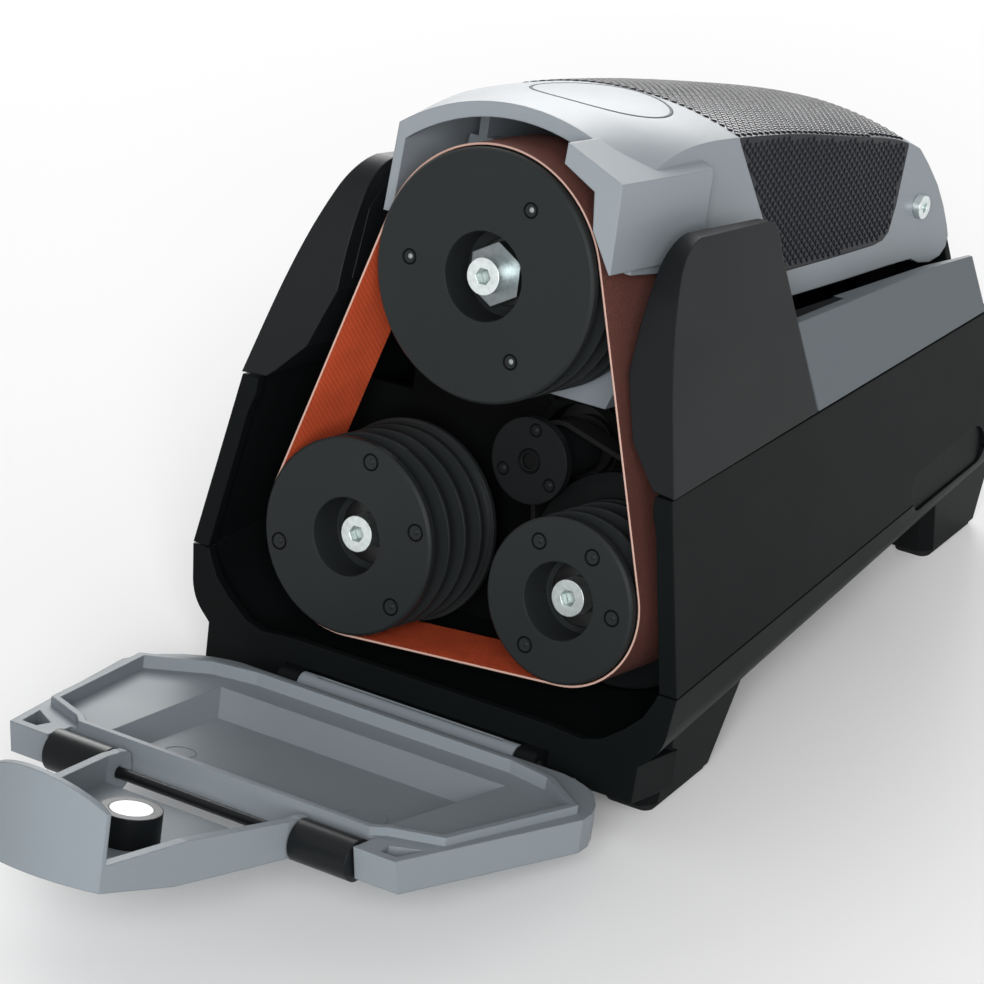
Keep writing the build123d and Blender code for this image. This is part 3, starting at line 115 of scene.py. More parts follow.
# half width and height of the rings on the rollers and in the cover; radius, half width and height on the pulley
MARK_HALF_WIDTH, MARK_HEIGHT = 0.22, 0.2
COVER_HALF_WIDTH, COVER_HEIGHT = 0.16, 0.08
PULLEY_RING = (2.3, 0.3, 0.25)
# pip inside a mark: place and radius as shares of the mark's radius, depth and height
PIP_PLACE, PIP_SHARE = (0.15, 0.1), 0.4
PIP_SINK, PIP_HEIGHT = 0.02, 0.22
PIP_SUBDIVISIONS = 2

# faces that carry marks: x, z, radius and y of the face
TOP_FACE = (*TOP_ROLLER, ROLLER_FRONT)
LEFT_FACE = (*LEFT_ROLLER, ROLLER_FRONT)
DRIVE_FACE = (*DRIVE_ROLLER, ROLLER_FRONT)
PULLEY_FACE = (*MOTOR_PULLEY, PULLEY_FRONT)

# piece, body, face, reach of the marks from the axis, their radius, their angles and the finish of their pips
ROLLER_MARKS = [
    # the top roller's pale pips are a painted highlight
    ("top_roller_marks", "upper_roller", TOP_FACE, 17.0, 1.4, (60, 180, 300), "painted_pip_highlight"),
    ("left_roller_marks", "idler_roller", LEFT_FACE, 16.5, 1.6, (78, 18, 318, 198), "black_roller"),
    ("drive_roller_marks", "driven_roller", DRIVE_FACE, 12.0, 1.5, (120, 60, 0, 240), "black_roller"),
    ("motor_pulley_marks", "motor_spindle", PULLEY_FACE, 6.3, 1.2, (85, 207, 325), "black_roller"),
]

# x, y and radius of the rings inside the cover
COVER_MARKS = [
    (-21.0, -48.4, 3.0),
    (21.1, -47.6, 4.2),
    (1.2, -52.4, 2.6),
    (1.2, -52.4, 1.5),
    (10.1, -52.7, 2.6),
    (10.1, -52.7, 1.5),
]

# profile y, z and half length of the rib inside the rear of the arm
RIB_PROFILE = ((122.20, 122.4), (122.34, 121.08), (124.0, 119.87), (123.6, 119.3), (121.75, 120.6), (121.6, 122.4))
RIB_HALF = 13.0

# bolts with a hexagon socket: piece, body, axis, y of the head's face
SOCKETS = [
    ("top_socket_shade", "arm", TOP_ROLLER, TOP_HEAD),
    ("left_socket_shade", "housing", LEFT_ROLLER, LOW_HEAD),
    ("drive_socket_shade", "housing", DRIVE_ROLLER, LOW_HEAD),
]
# depth of a socket, then the dark hexagon of painted shade in it: distance to its corners, lift off the bottom and
# thickness
SOCKET_DEPTH = 2.2
SHADE_REACH, SHADE_LIFT, SHADE_THICKNESS = 1.62, 0.1, 0.16

# ---------------------------------------------------------------- studio
FLOOR_SIZE = 6.0
# share of plain white in what the camera sees of the floor, and the distances, in metres, between which it sets in
FLOOR_WHITE = 0.5
WHITE_REACH = (0.09, 0.24)

# strength of the white surroundings as a light, and as what the camera and reflections see
WORLD_LIGHT, WORLD_SEEN = 0.36, 1.0

# lamps: place in metres, size in metres and watts; all of them aim at one point
LAMPS = [
    ("back_top", (-0.88, 1.34, 0.76), 1.1, 25.0),
    ("key", (0.84, -1.30, 0.76), 0.8, 28.0),
]
LAMP_AIM = (0, 0, 0.06)

# camera of the photograph: place in millimetres, angles in degrees, focal length and centre in pixels
CAMERA_PLACE = (391.5, -548.6, 403.0)
CAMERA_YAW = 33.98
CAMERA_PITCH = 26.97
FOCAL_PIXELS = 4002.4
CENTRE_PIXEL = (503.8, 493.4)
IMAGE = 984
SENSOR = 36.0

# ---------------------------------------------------------------- deck frame
ORIGIN_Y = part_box("front_foot_pad_right")[0].y - PAD_FRONT * MM
LEAN_TURN = Matrix.Rotation(-LEAN, 3, "X")
DECK = Matrix.Translation(Vector((0, ORIGIN_Y, 0))) @ Matrix.Rotation(-LEAN, 4, "X") @ Matrix.Scale(MM, 4)
# turns what is built flat so that its top faces the front
OUTWARDS = Matrix.Rotation(math.pi / 2, 4, "X")


# ---------------------------------------------------------------- node trees
class Nodes:
    """Short hand for wiring one node tree."""

    def __init__(self, tree):
        self.tree = tree

    def add(self, kind, **values):
        node = self.tree.nodes.new(kind)
        for key, value in values.items():
            setattr(node, key, value)
        return node

    def link(self, source, target):
        self.tree.links.new(source, target)

    def between(self, source, low, high, start=0.0, end=1.0):
        """Turns the span from start to end into the span from low to high."""
        node = self.add("ShaderNodeMapRange")
        node.inputs["From Min"].default_value = start
        node.inputs["From Max"].default_value = end
        node.inputs["To Min"].default_value = low
        node.inputs["To Max"].default_value = high
        self.link(source, node.inputs["Value"])
        return node.outputs["Result"]

    def math(self, operation, *values):
        """Sum, product or the like of sockets and numbers."""
        node = self.add("ShaderNodeMath", operation=operation)
        for target, value in zip(node.inputs, values):
            if isinstance(value, (int, float)):
                target.default_value = value
            else:
                self.link(value, target)
        return node.outputs[0]


class MaterialNodes(Nodes):
    """A new material and its node tree."""

    def __init__(self, name):
        self.material = bpy.data.materials.new(name)
        self.material.use_nodes = True
        super().__init__(self.material.node_tree)
        self.shader = self.tree.nodes["Principled BSDF"]
        self.coordinates = self.add("ShaderNodeTexCoord").outputs["Object"]

    def noise(self, scale, detail=3.0, rough=0.55):
        node = self.add("ShaderNodeTexNoise")
        node.inputs["Scale"].default_value = scale
        node.inputs["Detail"].default_value = detail
        node.inputs["Roughness"].default_value = rough
        self.link(self.coordinates, node.inputs["Vector"])
        return node.outputs["Fac"]

    def colour(self, source, colour, span, shares):
        """Base colour that goes from one share of a colour to another while the source goes through a span."""
        node = self.add("ShaderNodeValToRGB")
        for element, place, share in zip(node.color_ramp.elements, span, shares):
            element.position = place
            element.color = (*(min(1.0, c * share) for c in colour), 1.0)
        self.link(source, node.inputs["Fac"])
        self.link(node.outputs["Color"], self.shader.inputs["Base Color"])

    def gloss(self, source, roughness, spread):
        """Roughness that the source moves between two distances below and above its value."""
        low, high = roughness - spread[0], roughness + spread[1]
        self.link(self.between(source, low, high), self.shader.inputs["Roughness"])

    def bump(self, height, distance, normal=None):
        node = self.add("ShaderNodeBump")
        node.inputs["Strength"].default_value = 1.0
        node.inputs["Distance"].default_value = distance
        self.link(height, node.inputs["Height"])
        if normal is not None:
            self.link(normal, node.inputs["Normal"])
        self.link(node.outputs["Normal"], self.shader.inputs["Normal"])

    def rounded(self, radius):
        """Normal that softens sharp edges."""
        node = self.add("ShaderNodeBevel", samples=4)
        node.inputs["Radius"].default_value = radius
        return node.outputs["Normal"]


# ---------------------------------------------------------------- finishes
# colour, roughness, grain in microns, specular level, share by which the colour drifts
PLASTICS = {
    "black_shell": ((0.0040, 0.0050, 0.0053), 0.42, 12, 0.05, 0.12),
    "black_wing": ((0.0065, 0.0075, 0.0085), 0.42, 12, 0.14, 0.12),
    "black_roller": ((0.0165, 0.0190, 0.0198), 0.42, 8, 0.13, 0.12),
    "black_pulley": ((0.0060, 0.0072, 0.0076), 0.42, 8, 0.08, 0.12),
    # darker copy of the black plastic: painted shade for the parts deep inside and for the rings of the mould marks
    "black_painted_shade": ((0.0028, 0.0032, 0.0034), 0.50, 12, 0.05, 0.12),
    "black_satin": ((0.0065, 0.0078, 0.0088), 0.34, 6, 0.14, 0.12),
    "grey_arm": ((0.240, 0.268, 0.292), 0.40, 10, 0.30, 0.02),
    "grey_shoulder": ((0.106, 0.125, 0.138), 0.42, 10, 0.16, 0.02),
    "grey_cover": ((0.205, 0.232, 0.254), 0.40, 5, 0.10, 0.02),
    "grey_bracket": ((0.200, 0.225, 0.250), 0.40, 6, 0.20, 0.03),
    # dark oval line on the arm: painted shade of a groove
    "grey_groove_shade": ((0.075, 0.085, 0.095), 0.50, 5, 0.10, 0.12),
    "grip_rubber": ((0.0035, 0.0050, 0.0095), 0.25, 10, 0.19, 0.12),
    "pad_rubber": ((0.012, 0.012, 0.012), 0.80, 30, 0.10, 0.12),
    "belt_back": ((0.012, 0.012, 0.012), 0.60, 20, 0.10, 0.12),
    "belt_edge": ((0.55, 0.36, 0.30), 0.80, 20, 0.10, 0.12),
    # pale pips: a painted highlight on the top roller's mould marks
    "painted_pip_highlight": ((0.26, 0.28, 0.28), 0.35, 2, 0.30, 0.12),
    "board_green": ((0.02, 0.14, 0.05), 0.35, 10, 0.50, 0.12),
}

# colour, roughness
METALS = {
    "zinc": ((0.82, 0.89, 0.88), 0.36),
    "bright_steel": ((0.56, 0.56, 0.56), 0.25),
    # near-black steel: painted shade of the recessed end of the motor shaft
    "shaft_painted_shade": ((0.012, 0.012, 0.012), 0.60),
    # darker steel: painted shade on the bottom of the bolt sockets
    "socket_painted_shade": ((0.24, 0.27, 0.26), 0.45),
    "dark_zinc": ((0.26, 0.29, 0.30), 0.36),
    "bearing_steel": ((0.07, 0.07, 0.07), 0.34),
    "brass": ((0.62, 0.45, 0.16), 0.30),
    "motor_steel": ((0.035, 0.035, 0.037), 0.50),
    "magnet": ((0.60, 0.625, 0.615), 0.60),
}

# scale, detail and roughness of the noises: drift, gloss and grain of plastic, turning marks and gloss of metal,
# grit, blotches of the cloth and drift of the floor
DRIFT, GLOSS, GRAIN = (18.0, 2.0), (60.0, 2.0), (2600.0, 2.0, 0.6)
TURNING, METAL_GLOSS = (900.0, 4.0), (400.0,)
GRIT_GRAINS, CLOTH_BLOTCHES, FLOOR_DRIFT = (5200.0, 2.0, 0.7), (140.0,), (1.5,)

# noise values at which the darkest and the lightest colour are reached
NOISE_SPAN, GRIT_SPAN, CLOTH_SPAN = (0.3, 0.7), (0.35, 0.65), (0.2, 0.75)

# shares of the colour at those two
METAL_SHARES, GRIT_SHARES, CLOTH_SHARES, FLOOR_SHARES = (0.8, 1.0), (0.55, 1.5), (0.62, 1.25), (0.99, 1.0)

# how far the roughness goes below and above its value
GLOSS_SPREAD, METAL_GLOSS_SPREAD = (0.05, 0.05), (0.06, 0.1)

# radius of the softened edges, and depth of the turning marks, the grit and the weave, in metres
PLASTIC_EDGE, METAL_EDGE = 0.4 * MM, 0.2 * MM
TURNING_DEPTH, GRIT_DEPTH, WEAVE_DEPTH = 4 * MICRON, 0.25 * MM, 0.12 * MM

# heights of the cloth's ribs and cross threads round the middle, then the shares of weave and blotches in its shade
RIB_WAVE, PICK_WAVE, WAVE_MIDDLE = 0.36, 0.12, 0.5
WEAVE_SHARE, BLOTCH_SHARE = 0.6, 0.4

# roughness, and the specular level of cloth and floor
GRIT_ROUGH, CLOTH_ROUGH, FLOOR_ROUGH = 0.75, 0.82, 0.9
DULL = 0.1

# finish, then the CAD nodes that have it
NODE_FINISH = {
    "black_shell": [
        "base_tray", "side_panel_left", "side_panel_right", "rear_cover", "power_inlet", "power_button", "speed_button",
        "side_badge_left", "side_badge_right",
    ],
    "black_wing": ["guide_wing_left", "guide_wing_right", "slot_liner_left", "slot_liner_right"],
    "black_roller": ["top_roller", "left_roller", "drive_roller"],
    "black_satin": ["magnet_holder", "flap_sleeves", "flap_rod"],
    "black_pulley": ["drive_wheel", "motor_pulley"],
    # painted shade: the arm well and the bulkhead take the darker copy of the black plastic
    "black_painted_shade": ["arm_well", "bulkhead"],
    "grey_arm": ["arm_shell"],
    "grey_shoulder": ["shoulder_panel_left", "shoulder_panel_right"],
    "grey_cover": ["cover_panel", "latch_flap"],
    "grey_bracket": ["arm_bracket"],
    "grip_rubber": ["grip_insert"],
    "pad_rubber": ["front_foot_pad_left", "front_foot_pad_right", "rear_foot_pad_left", "rear_foot_pad_right"],
    "belt_back": ["drive_belt"],
    "zinc": ["top_axle_bolt", "left_axle_bolt", "drive_axle_bolt", "arm_pivot_screws", "base_screws"],
    "dark_zinc": ["tracking_block"],
    "bright_steel": ["cover_hinge_pin", "tension_spring", "arm_pivot_pin"],
    "bearing_steel": ["top_roller_bearings", "left_roller_bearings", "drive_roller_bearings"],
    # painted shade: the recessed motor shaft is made near black
    "shaft_painted_shade": ["motor_shaft"],
    "brass": ["inlet_pins"],
    "motor_steel": ["motor"],
    "magnet": ["magnet"],
    "board_green": ["control_board"],
}

FINISHES = {}


def moulded(name, colour, roughness, grain, specular, drift):
    """Moulded plastic: slight colour drift, spark-eroded grain and softened edges."""
    n = MaterialNodes(name)
    n.colour(n.noise(*DRIFT), colour, NOISE_SPAN, (1 - drift, 1 + drift))
    n.gloss(n.noise(*GLOSS), roughness, GLOSS_SPREAD)
    n.shader.inputs["Specular IOR Level"].default_value = specular
    n.bump(n.noise(*GRAIN), grain * MICRON, n.rounded(PLASTIC_EDGE))
    return n.material


def metal(name, colour, roughness):
    """Plated steel with fine turning marks."""
    n = MaterialNodes(name)
    marks = n.noise(*TURNING)
    n.colour(marks, colour, NOISE_SPAN, METAL_SHARES)
    n.shader.inputs["Metallic"].default_value = 1.0
    n.gloss(n.noise(*METAL_GLOSS), roughness, METAL_GLOSS_SPREAD)
    n.bump(marks, TURNING_DEPTH, n.rounded(METAL_EDGE))
    return n.material


def finish(name):
    """One material for each finish, made on first use."""
    if name not in FINISHES:
        FINISHES[name] = moulded(name, *PLASTICS[name]) if name in PLASTICS else metal(name, *METALS[name])
    return FINISHES[name]


def grit_material():
    """Abrasive grains."""
    n = MaterialNodes("belt_grit")
    grains = n.noise(*GRIT_GRAINS)
    n.colour(grains, settings().grit_colour, GRIT_SPAN, GRIT_SHARES)
    n.shader.inputs["Roughness"].default_value = GRIT_ROUGH
    n.bump(grains, GRIT_DEPTH)
    return n.material


def cloth_material():
    """Woven cloth with slanting ribs, which follow the belt's cloth map."""
    n = MaterialNodes("belt_cloth")
    parts = n.add("ShaderNodeSeparateXYZ")
    n.link(n.add("ShaderNodeUVMap", uv_map="cloth").outputs["UV"], parts.inputs[0])
    ribs = n.math("SINE", n.math("MULTIPLY", parts.outputs["X"], 2 * math.pi))
    picks = n.math("SINE", n.math("MULTIPLY", parts.outputs["Y"], 2 * math.pi))
    waves = n.math("ADD", n.math("MULTIPLY", ribs, RIB_WAVE), n.math("MULTIPLY", picks, PICK_WAVE))
    weave = n.math("ADD", waves, WAVE_MIDDLE)
    blotches = n.noise(*CLOTH_BLOTCHES)
    shade = n.math("ADD", n.math("MULTIPLY", weave, WEAVE_SHARE), n.math("MULTIPLY", blotches, BLOTCH_SHARE))
    n.colour(shade, settings().cloth_colour, CLOTH_SPAN, CLOTH_SHARES)
    n.shader.inputs["Roughness"].default_value = CLOTH_ROUGH
    n.shader.inputs["Specular IOR Level"].default_value = DULL
    n.bump(weave, WEAVE_DEPTH)
    return n.material


# ---------------------------------------------------------------- mesh helpers
def add_piece(name, bm, place, body, slot, *materials):
    """Turns a bmesh into a named piece that rides on a body."""
    bm.transform(place)
    mesh = bpy.data.meshes.new(name)
    bm.to_mesh(mesh)
    bm.free()
    piece = bpy.data.objects.new(name, mesh)
    bpy.context.scene.collection.objects.link(piece)
    for material in materials:
        mesh.materials.append(material)
    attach(piece, body)
    return piece


def smooth(bm, angle=SHARP):
    """Smooth faces, sharp where two faces meet at more than the angle."""
    for face in bm.faces:
        face.smooth = True
    for edge in bm.edges:
        edge.smooth = len(edge.link_faces) == 2 and edge.calc_face_angle(0) < angle


def tangent_angle(x1, z1, r1, x2, z2, r2):
    """Direction from the centres to the outer tangent that leaves circle 1 for circle 2, anticlockwise."""
    dx, dz = x2 - x1, z2 - z1
    distance = math.hypot(dx, dz)
    return math.atan2(dz, dx) - math.pi / 2 + math.asin((r1 - r2) / distance)


def belt_path(circles, gap):
    """Points and outward directions round the circles x, z, radius, in order, anticlockwise from the front."""
    path = []
    total = len(circles)
    for i, (x, z, r) in enumerate(circles):
        (px, pz, pr), (nx, nz, nr) = circles[i - 1], circles[(i + 1) % total]
        start = tangent_angle(px, pz, pr + gap, x, z, r + gap)
        end = tangent_angle(x, z, r + gap, nx, nz, nr + gap)
        if end < start:
            end += 2 * math.pi
        for k in range(BELT_STEPS + 1):
            a = start + (end - start) * k / BELT_STEPS
            path.append((x + (r + gap) * math.cos(a), z + (r + gap) * math.sin(a), math.cos(a), math.sin(a)))
    return path


def surface_of(node):
    """Search tree over a merged copy of one CAD node's mesh."""
    bm = bmesh.new()
    bm.from_mesh(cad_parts[node].data)
    bmesh.ops.remove_doubles(bm, verts=bm.verts, dist=MICRON)
    tree = BVHTree.FromBMesh(bm)
    bm.free()
    return tree


def deck_hit(tree, spot, way):
    """First hit, with its normal, of a line from a deck frame spot, in metres, along a deck frame direction."""
    way = LEAN_TURN @ Vector(way)
    return tree.ray_cast(LEAN_TURN @ Vector(spot) + Vector((0, ORIGIN_Y, 0)), way)


def add_stud(bm, skin, spot, way, s):
    """One stud on the grip, where the skin reaches past it on every side."""
    point, normal, _, depth = deck_hit(skin, spot, way)
    if point is None or normal.dot(LEAN_TURN @ Vector(way)) > -STUD_FACING:
        return
    side_axis = Vector((0, 0, 1)) if way[0] else Vector((1, 0, 0))
    for step in (Vector((0, STUD_MARGIN, 0)), side_axis * STUD_MARGIN):
        for sign in (-1, 1):
            near, facing, _, reach = deck_hit(skin, Vector(spot) + sign * step, way)
            if near is None or abs(reach - depth) > STUD_SLOPE * STUD_MARGIN or facing.dot(normal) < STUD_FLATNESS:
                return
    x = (LEAN_TURN @ Vector((0, 1, 0))).cross(normal).normalized()
    y = normal.cross(x)
    turn = Matrix((x, y, normal)).transposed().to_4x4()
    place = Matrix.Translation(point + normal * (s.stud_height / 2 - STUD_SINK))
    size = Matrix.Diagonal((s.stud_width, s.stud_length, 1, 1))
    bmesh.ops.create_cone(
        bm, cap_ends=True, segments=STUD_SIDES, radius1=STUD_BASE, radius2=SIDE_FLAT if way[0] else TOP_FLAT,
        depth=s.stud_height, matrix=place @ turn @ size,
    )


def join_rings(bm, rings):
    """Faces, in a fixed order, between each ring of vertices and the next, all the way round."""
    faces = []
    for i, ring in enumerate(rings):
        after = rings[(i + 1) % len(rings)]
        for k in range(len(ring)):
            j = (k + 1) % len(ring)
            faces.append(bm.faces.new((ring[k], ring[j], after[j], after[k])))
    return faces


def add_ring(bm, place, radius, half_width, height):
    """Low raised ring lying on a face."""
    top = half_width * RING_FLAT
    section = ((-half_width, -RING_SINK), (-top, height), (top, height), (half_width, -RING_SINK))
    rings = []
    for i in range(RING_STEPS):
        turn = place @ Matrix.Rotation(2 * math.pi * i / RING_STEPS, 4, "Z")
        rings.append([bm.verts.new(turn @ Vector((radius + across, 0, up))) for across, up in section])
    bmesh.ops.recalc_face_normals(bm, faces=join_rings(bm, rings))


def add_mark(bm, place, radius):
    """Raised ring with a small round pip inside it."""
    add_ring(bm, place, radius, MARK_HALF_WIDTH, MARK_HEIGHT)
    spot = Matrix.Translation((radius * PIP_PLACE[0], radius * PIP_PLACE[1], -PIP_SINK))
    size = Matrix.Diagonal((radius * PIP_SHARE, radius * PIP_SHARE, PIP_HEIGHT, 1))
    made = bmesh.ops.create_icosphere(bm, subdivisions=PIP_SUBDIVISIONS, radius=1.0, matrix=place @ spot @ size)
    for face in {f for v in made["verts"] for f in v.link_faces}:
        face.material_index = 1


# ---------------------------------------------------------------- settings
class SharpenerSettings(bpy.types.PropertyGroup):
    """Sizes and colours that a user would change."""

    belt_gap: bpy.props.FloatProperty(
        name="Belt gap", description="Gap between the rollers and the sanding belt",
        default=0.3 * MM, unit="LENGTH", precision=5,
    )
    belt_thickness: bpy.props.FloatProperty(
        name="Belt thickness", description="Thickness of the sanding belt",
        default=0.42 * MM, unit="LENGTH", precision=5,
    )
    belt_width: bpy.props.FloatProperty(
        name="Belt width", description="Width of the sanding belt",
        default=19.05 * MM, unit="LENGTH", precision=5,
    )
    belt_front: bpy.props.FloatProperty(
        name="Belt front", description="Distance of the belt's front edge behind the roller plane",
        default=2.1 * MM, unit="LENGTH", precision=5,
    )
    stud_pitch: bpy.props.FloatProperty(
        name="Stud pitch", description="Distance of the grip studs along the arm",
        default=2.3 * MM, unit="LENGTH", precision=5,
    )
    stud_row: bpy.props.FloatProperty(
        name="Stud rows", description="Distance between the staggered rows of studs",
        default=0.95 * MM, unit="LENGTH", precision=5,
    )
    stud_length: bpy.props.FloatProperty(
        name="Stud length", description="Length of a stud along the arm",
        default=2.1 * MM, unit="LENGTH", precision=5,
    )
    stud_width: bpy.props.FloatProperty(
        name="Stud width", description="Width of a stud across the rows",
        default=1.75 * MM, unit="LENGTH", precision=5,
    )
    stud_height: bpy.props.FloatProperty(
        name="Stud height", description="Height of a stud",
        default=0.32 * MM, unit="LENGTH", precision=5,
    )
    grit_colour: bpy.props.FloatVectorProperty(
        name="Grit colour", description="Colour of the grit side of the belt",
        subtype="COLOR", size=3, default=(0.115, 0.032, 0.022), min=0, max=1,
    )
    cloth_colour: bpy.props.FloatVectorProperty(
        name="Cloth colour", description="Colour of the cloth side of the belt",
        subtype="COLOR", size=3, default=(0.66, 0.098, 0.036), min=0, max=1,
    )
    floor_colour: bpy.props.FloatVectorProperty(
        name="Floor colour", description="Colour of the studio floor",
        subtype="COLOR", size=3, default=(0.9, 0.9, 0.9), min=0, max=1,
    )


def settings():
    """The values of the settings in this scene."""
    return bpy.context.scene.sharpener


# ---------------------------------------------------------------- operators
class SHARPENER_OT_finish_nodes(bpy.types.Operator):
    """Give every carried-over CAD node its finish"""

    bl_idname = "sharpener.finish_nodes"
    bl_label = "Finish CAD nodes"

    def execute(self, context):
        for name, nodes in NODE_FINISH.items():
            for node in nodes:
                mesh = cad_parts[node].data
                mesh.materials.clear()
                mesh.materials.append(finish(name))
        return {"FINISHED"}


class SHARPENER_OT_sanding_belt(bpy.types.Operator):
    """Make the sanding belt: grit outside, woven cloth inside"""

    bl_idname = "sharpener.sanding_belt"
    bl_label = "Sanding belt"

    def execute(self, context):
        s = settings()
        front = s.belt_front / MM
        back = front + s.belt_width / MM
        thickness = s.belt_thickness / MM
        section = ((0.0, front), (0.0, back), (thickness, back), (thickness, front))
        bm = bmesh.new()
        uv = bm.loops.layers.uv.new("cloth")
        rings = [
            [bm.verts.new((x + nx * out, y, z + nz * out)) for out, y in section]
            for x, z, nx, nz in belt_path([TOP_ROLLER, LEFT_ROLLER, DRIVE_ROLLER], s.belt_gap / MM)
        ]
        turn = Vector((math.cos(RIB_ANGLE), math.sin(RIB_ANGLE)))
        along = 0.0
        for i, ring in enumerate(rings):
            after = rings[(i + 1) % len(rings)]
            step = (after[0].co - ring[0].co).length
            for k, slot in enumerate((CLOTH, EDGE, GRIT, EDGE)):
                j = (k + 1) % len(ring)
                face = bm.faces.new((ring[k], ring[j], after[j], after[k]))
                face.material_index = slot
                for loop in face.loops:
                    across, down = loop.vert.co.y, along + (step if loop.vert in after else 0.0)
                    rib = (across * turn.x + down * turn.y) / RIB_PITCH
                    pick = (down * turn.x - across * turn.y) / PICK_PITCH
                    loop[uv].uv = (rib, pick)
            along += step
        bmesh.ops.recalc_face_normals(bm, faces=bm.faces)
        smooth(bm)
        materials = grit_material(), cloth_material(), finish("belt_edge")
        belt = add_piece("abrasive_belt", bm, DECK, "housing", "belt_cloth", *materials)
        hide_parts("sanding_belt")
        return {"FINISHED"}


class SHARPENER_OT_grip_studs(bpy.types.Operator):
    """Cover the grip insert with staggered rows of small raised studs"""

    bl_idname = "sharpener.grip_studs"
    bl_label = "Grip studs"

    def execute(self, context):
        s = settings()
        pitch, row = s.stud_pitch, s.stud_row
        skin = surface_of("grip_insert")
        bm = bmesh.new()
        along = [GRIP_FRONT * MM + pitch * i for i in range(int((GRIP_BACK - GRIP_FRONT) * MM / pitch))]
        for side in (-1, 1):
            for k in range(int((GRIP_TOP - GRIP_LOW) * MM / row)):
                for y in along:
                    spot = (side * BESIDE * MM, y + (k % 2) * pitch / 2, GRIP_LOW * MM + row * k)
                    add_stud(bm, skin, spot, (-side, 0, 0), s)
        across = int(GRIP_HALF * MM / row)
        for k in range(-across, across + 1):
            for y in along:
                add_stud(bm, skin, (row * k, y + (k % 2) * pitch / 2, ABOVE * MM), (0, 0, -1), s)
        smooth(bm, STUD_SHARP)
        add_piece("grip_studs", bm, Matrix.Identity(4), "arm", "grip_rubber", finish("grip_rubber"))
        return {"FINISHED"}


class SHARPENER_OT_mould_marks(bpy.types.Operator):
    """Put the round ejector and gate marks on the rollers, the pulley and inside the cover; on the rollers and the
    pulley the rings are dark with painted shade, and the top roller's pale pips are a painted highlight
    """

    bl_idname = "sharpener.mould_marks"
    bl_label = "Mould marks"

    def execute(self, context):
        for name, body, face, reach, size, angles, middle in ROLLER_MARKS:
            bm = bmesh.new()
            x, z, _, y = face
            for angle in angles:
                a = math.radians(angle)
                spot = Vector((x + reach * math.cos(a), y, z + reach * math.sin(a)))
                add_mark(bm, Matrix.Translation(spot) @ OUTWARDS, size)
            if face is PULLEY_FACE:
                add_ring(bm, Matrix.Translation(Vector((x, y, z))) @ OUTWARDS, *PULLEY_RING)
            smooth(bm)
            # the rings take the darker black, painted shade round each mark
            add_piece(name, bm, DECK, body, "black_abs", finish("black_painted_shade"), finish(middle))
        bm = bmesh.new()
        for x, y, radius in COVER_MARKS:
            add_ring(bm, Matrix.Translation((x, y, COVER_FLOOR)), radius, COVER_HALF_WIDTH, COVER_HEIGHT)
        smooth(bm)
        add_piece("cover_marks", bm, DECK, "front_cover", "grey_abs", finish("grey_cover"))
        return {"FINISHED"}


class SHARPENER_OT_emblem_line(bpy.types.Operator):
    """Lay the plain oval line, dark with the painted shade of a groove, on the top of the arm"""

    bl_idname = "sharpener.emblem_line"
    bl_label = "Oval line"

    def execute(self, context):
        skin = surface_of("arm_shell")
        top = OVAL_WIDTH * 0.5
        section = ((-OVAL_WIDTH, -OVAL_SINK), (-top, OVAL_LIFT), (top, OVAL_LIFT), (OVAL_WIDTH, -OVAL_SINK))
        bm = bmesh.new()
        rings = []
        for i in range(OVAL_STEPS):
            a = 2 * math.pi * i / OVAL_STEPS
            out = Vector((math.cos(a) / OVAL_HALF_X, math.sin(a) / OVAL_HALF_Y, 0)).normalized()
            x, y = OVAL_PLACE[0] + OVAL_HALF_X * math.cos(a), OVAL_PLACE[1] + OVAL_HALF_Y * math.sin(a)
            middle = Vector((x, y, ABOVE))
            ring = []
            for offset, lift in section:
                point, normal, _, _ = deck_hit(skin, (middle + out * offset) * MM, (0, 0, -1))
                ring.append(bm.verts.new(point + normal * lift * MM))
            rings.append(ring)
        bmesh.ops.recalc_face_normals(bm, faces=join_rings(bm, rings))
        smooth(bm)
        add_piece("arm_oval_line", bm, Matrix.Identity(4), "arm", "grey_abs", finish("grey_groove_shade"))
        return {"FINISHED"}


class SHARPENER_OT_rear_rib(bpy.types.Operator):
    """Close the slit behind the grip with a rib inside the arm"""

    bl_idname = "sharpener.rear_rib"
    bl_label = "Rear rib"

    def execute(self, context):
        bm = bmesh.new()
        left, right = ([bm.verts.new((x, y, z)) for y, z in RIB_PROFILE] for x in (-RIB_HALF, RIB_HALF))
        faces = [bm.faces.new(left), bm.faces.new(right)]
        for k in range(len(RIB_PROFILE)):
            faces.append(bm.faces.new((left[k - 1], left[k], right[k], right[k - 1])))
        bmesh.ops.recalc_face_normals(bm, faces=faces)
        smooth(bm, RIB_SHARP)
        add_piece("arm_rear_rib", bm, DECK, "arm", "grey_abs", finish("grey_arm"))
        return {"FINISHED"}


class SHARPENER_OT_socket_shade(bpy.types.Operator):
    """Lay a dark hexagon, painted shade, on the bottom of each bolt's socket"""

    bl_idname = "sharpener.socket_shade"
    bl_label = "Socket bottoms"

    def execute(self, context):
        corner_up = Matrix.Rotation(math.pi / 6, 4, "Z")
        for name, body, (x, z, _), face in SOCKETS:
            bm = bmesh.new()
            place = Matrix.Translation((x, face + SOCKET_DEPTH - SHADE_LIFT, z)) @ OUTWARDS @ corner_up
            bmesh.ops.create_cone(
                bm, cap_ends=True, segments=6, radius1=SHADE_REACH, radius2=SHADE_REACH,
                depth=SHADE_THICKNESS, matrix=place,
            )
            add_piece(name, bm, DECK, body, "zinc_steel", finish("socket_painted_shade"))
        return {"FINISHED"}


class SHARPENER_OT_stage(bpy.types.Operator):
    """Make the floor, the surroundings, the lamps and the camera"""

    bl_idname = "sharpener.stage"
    bl_label = "Studio"

    def execute(self, context):
        make_floor()
        make_world()
        for lamp in LAMPS:
            make_lamp(*lamp)
        make_camera()
        return {"FINISHED"}


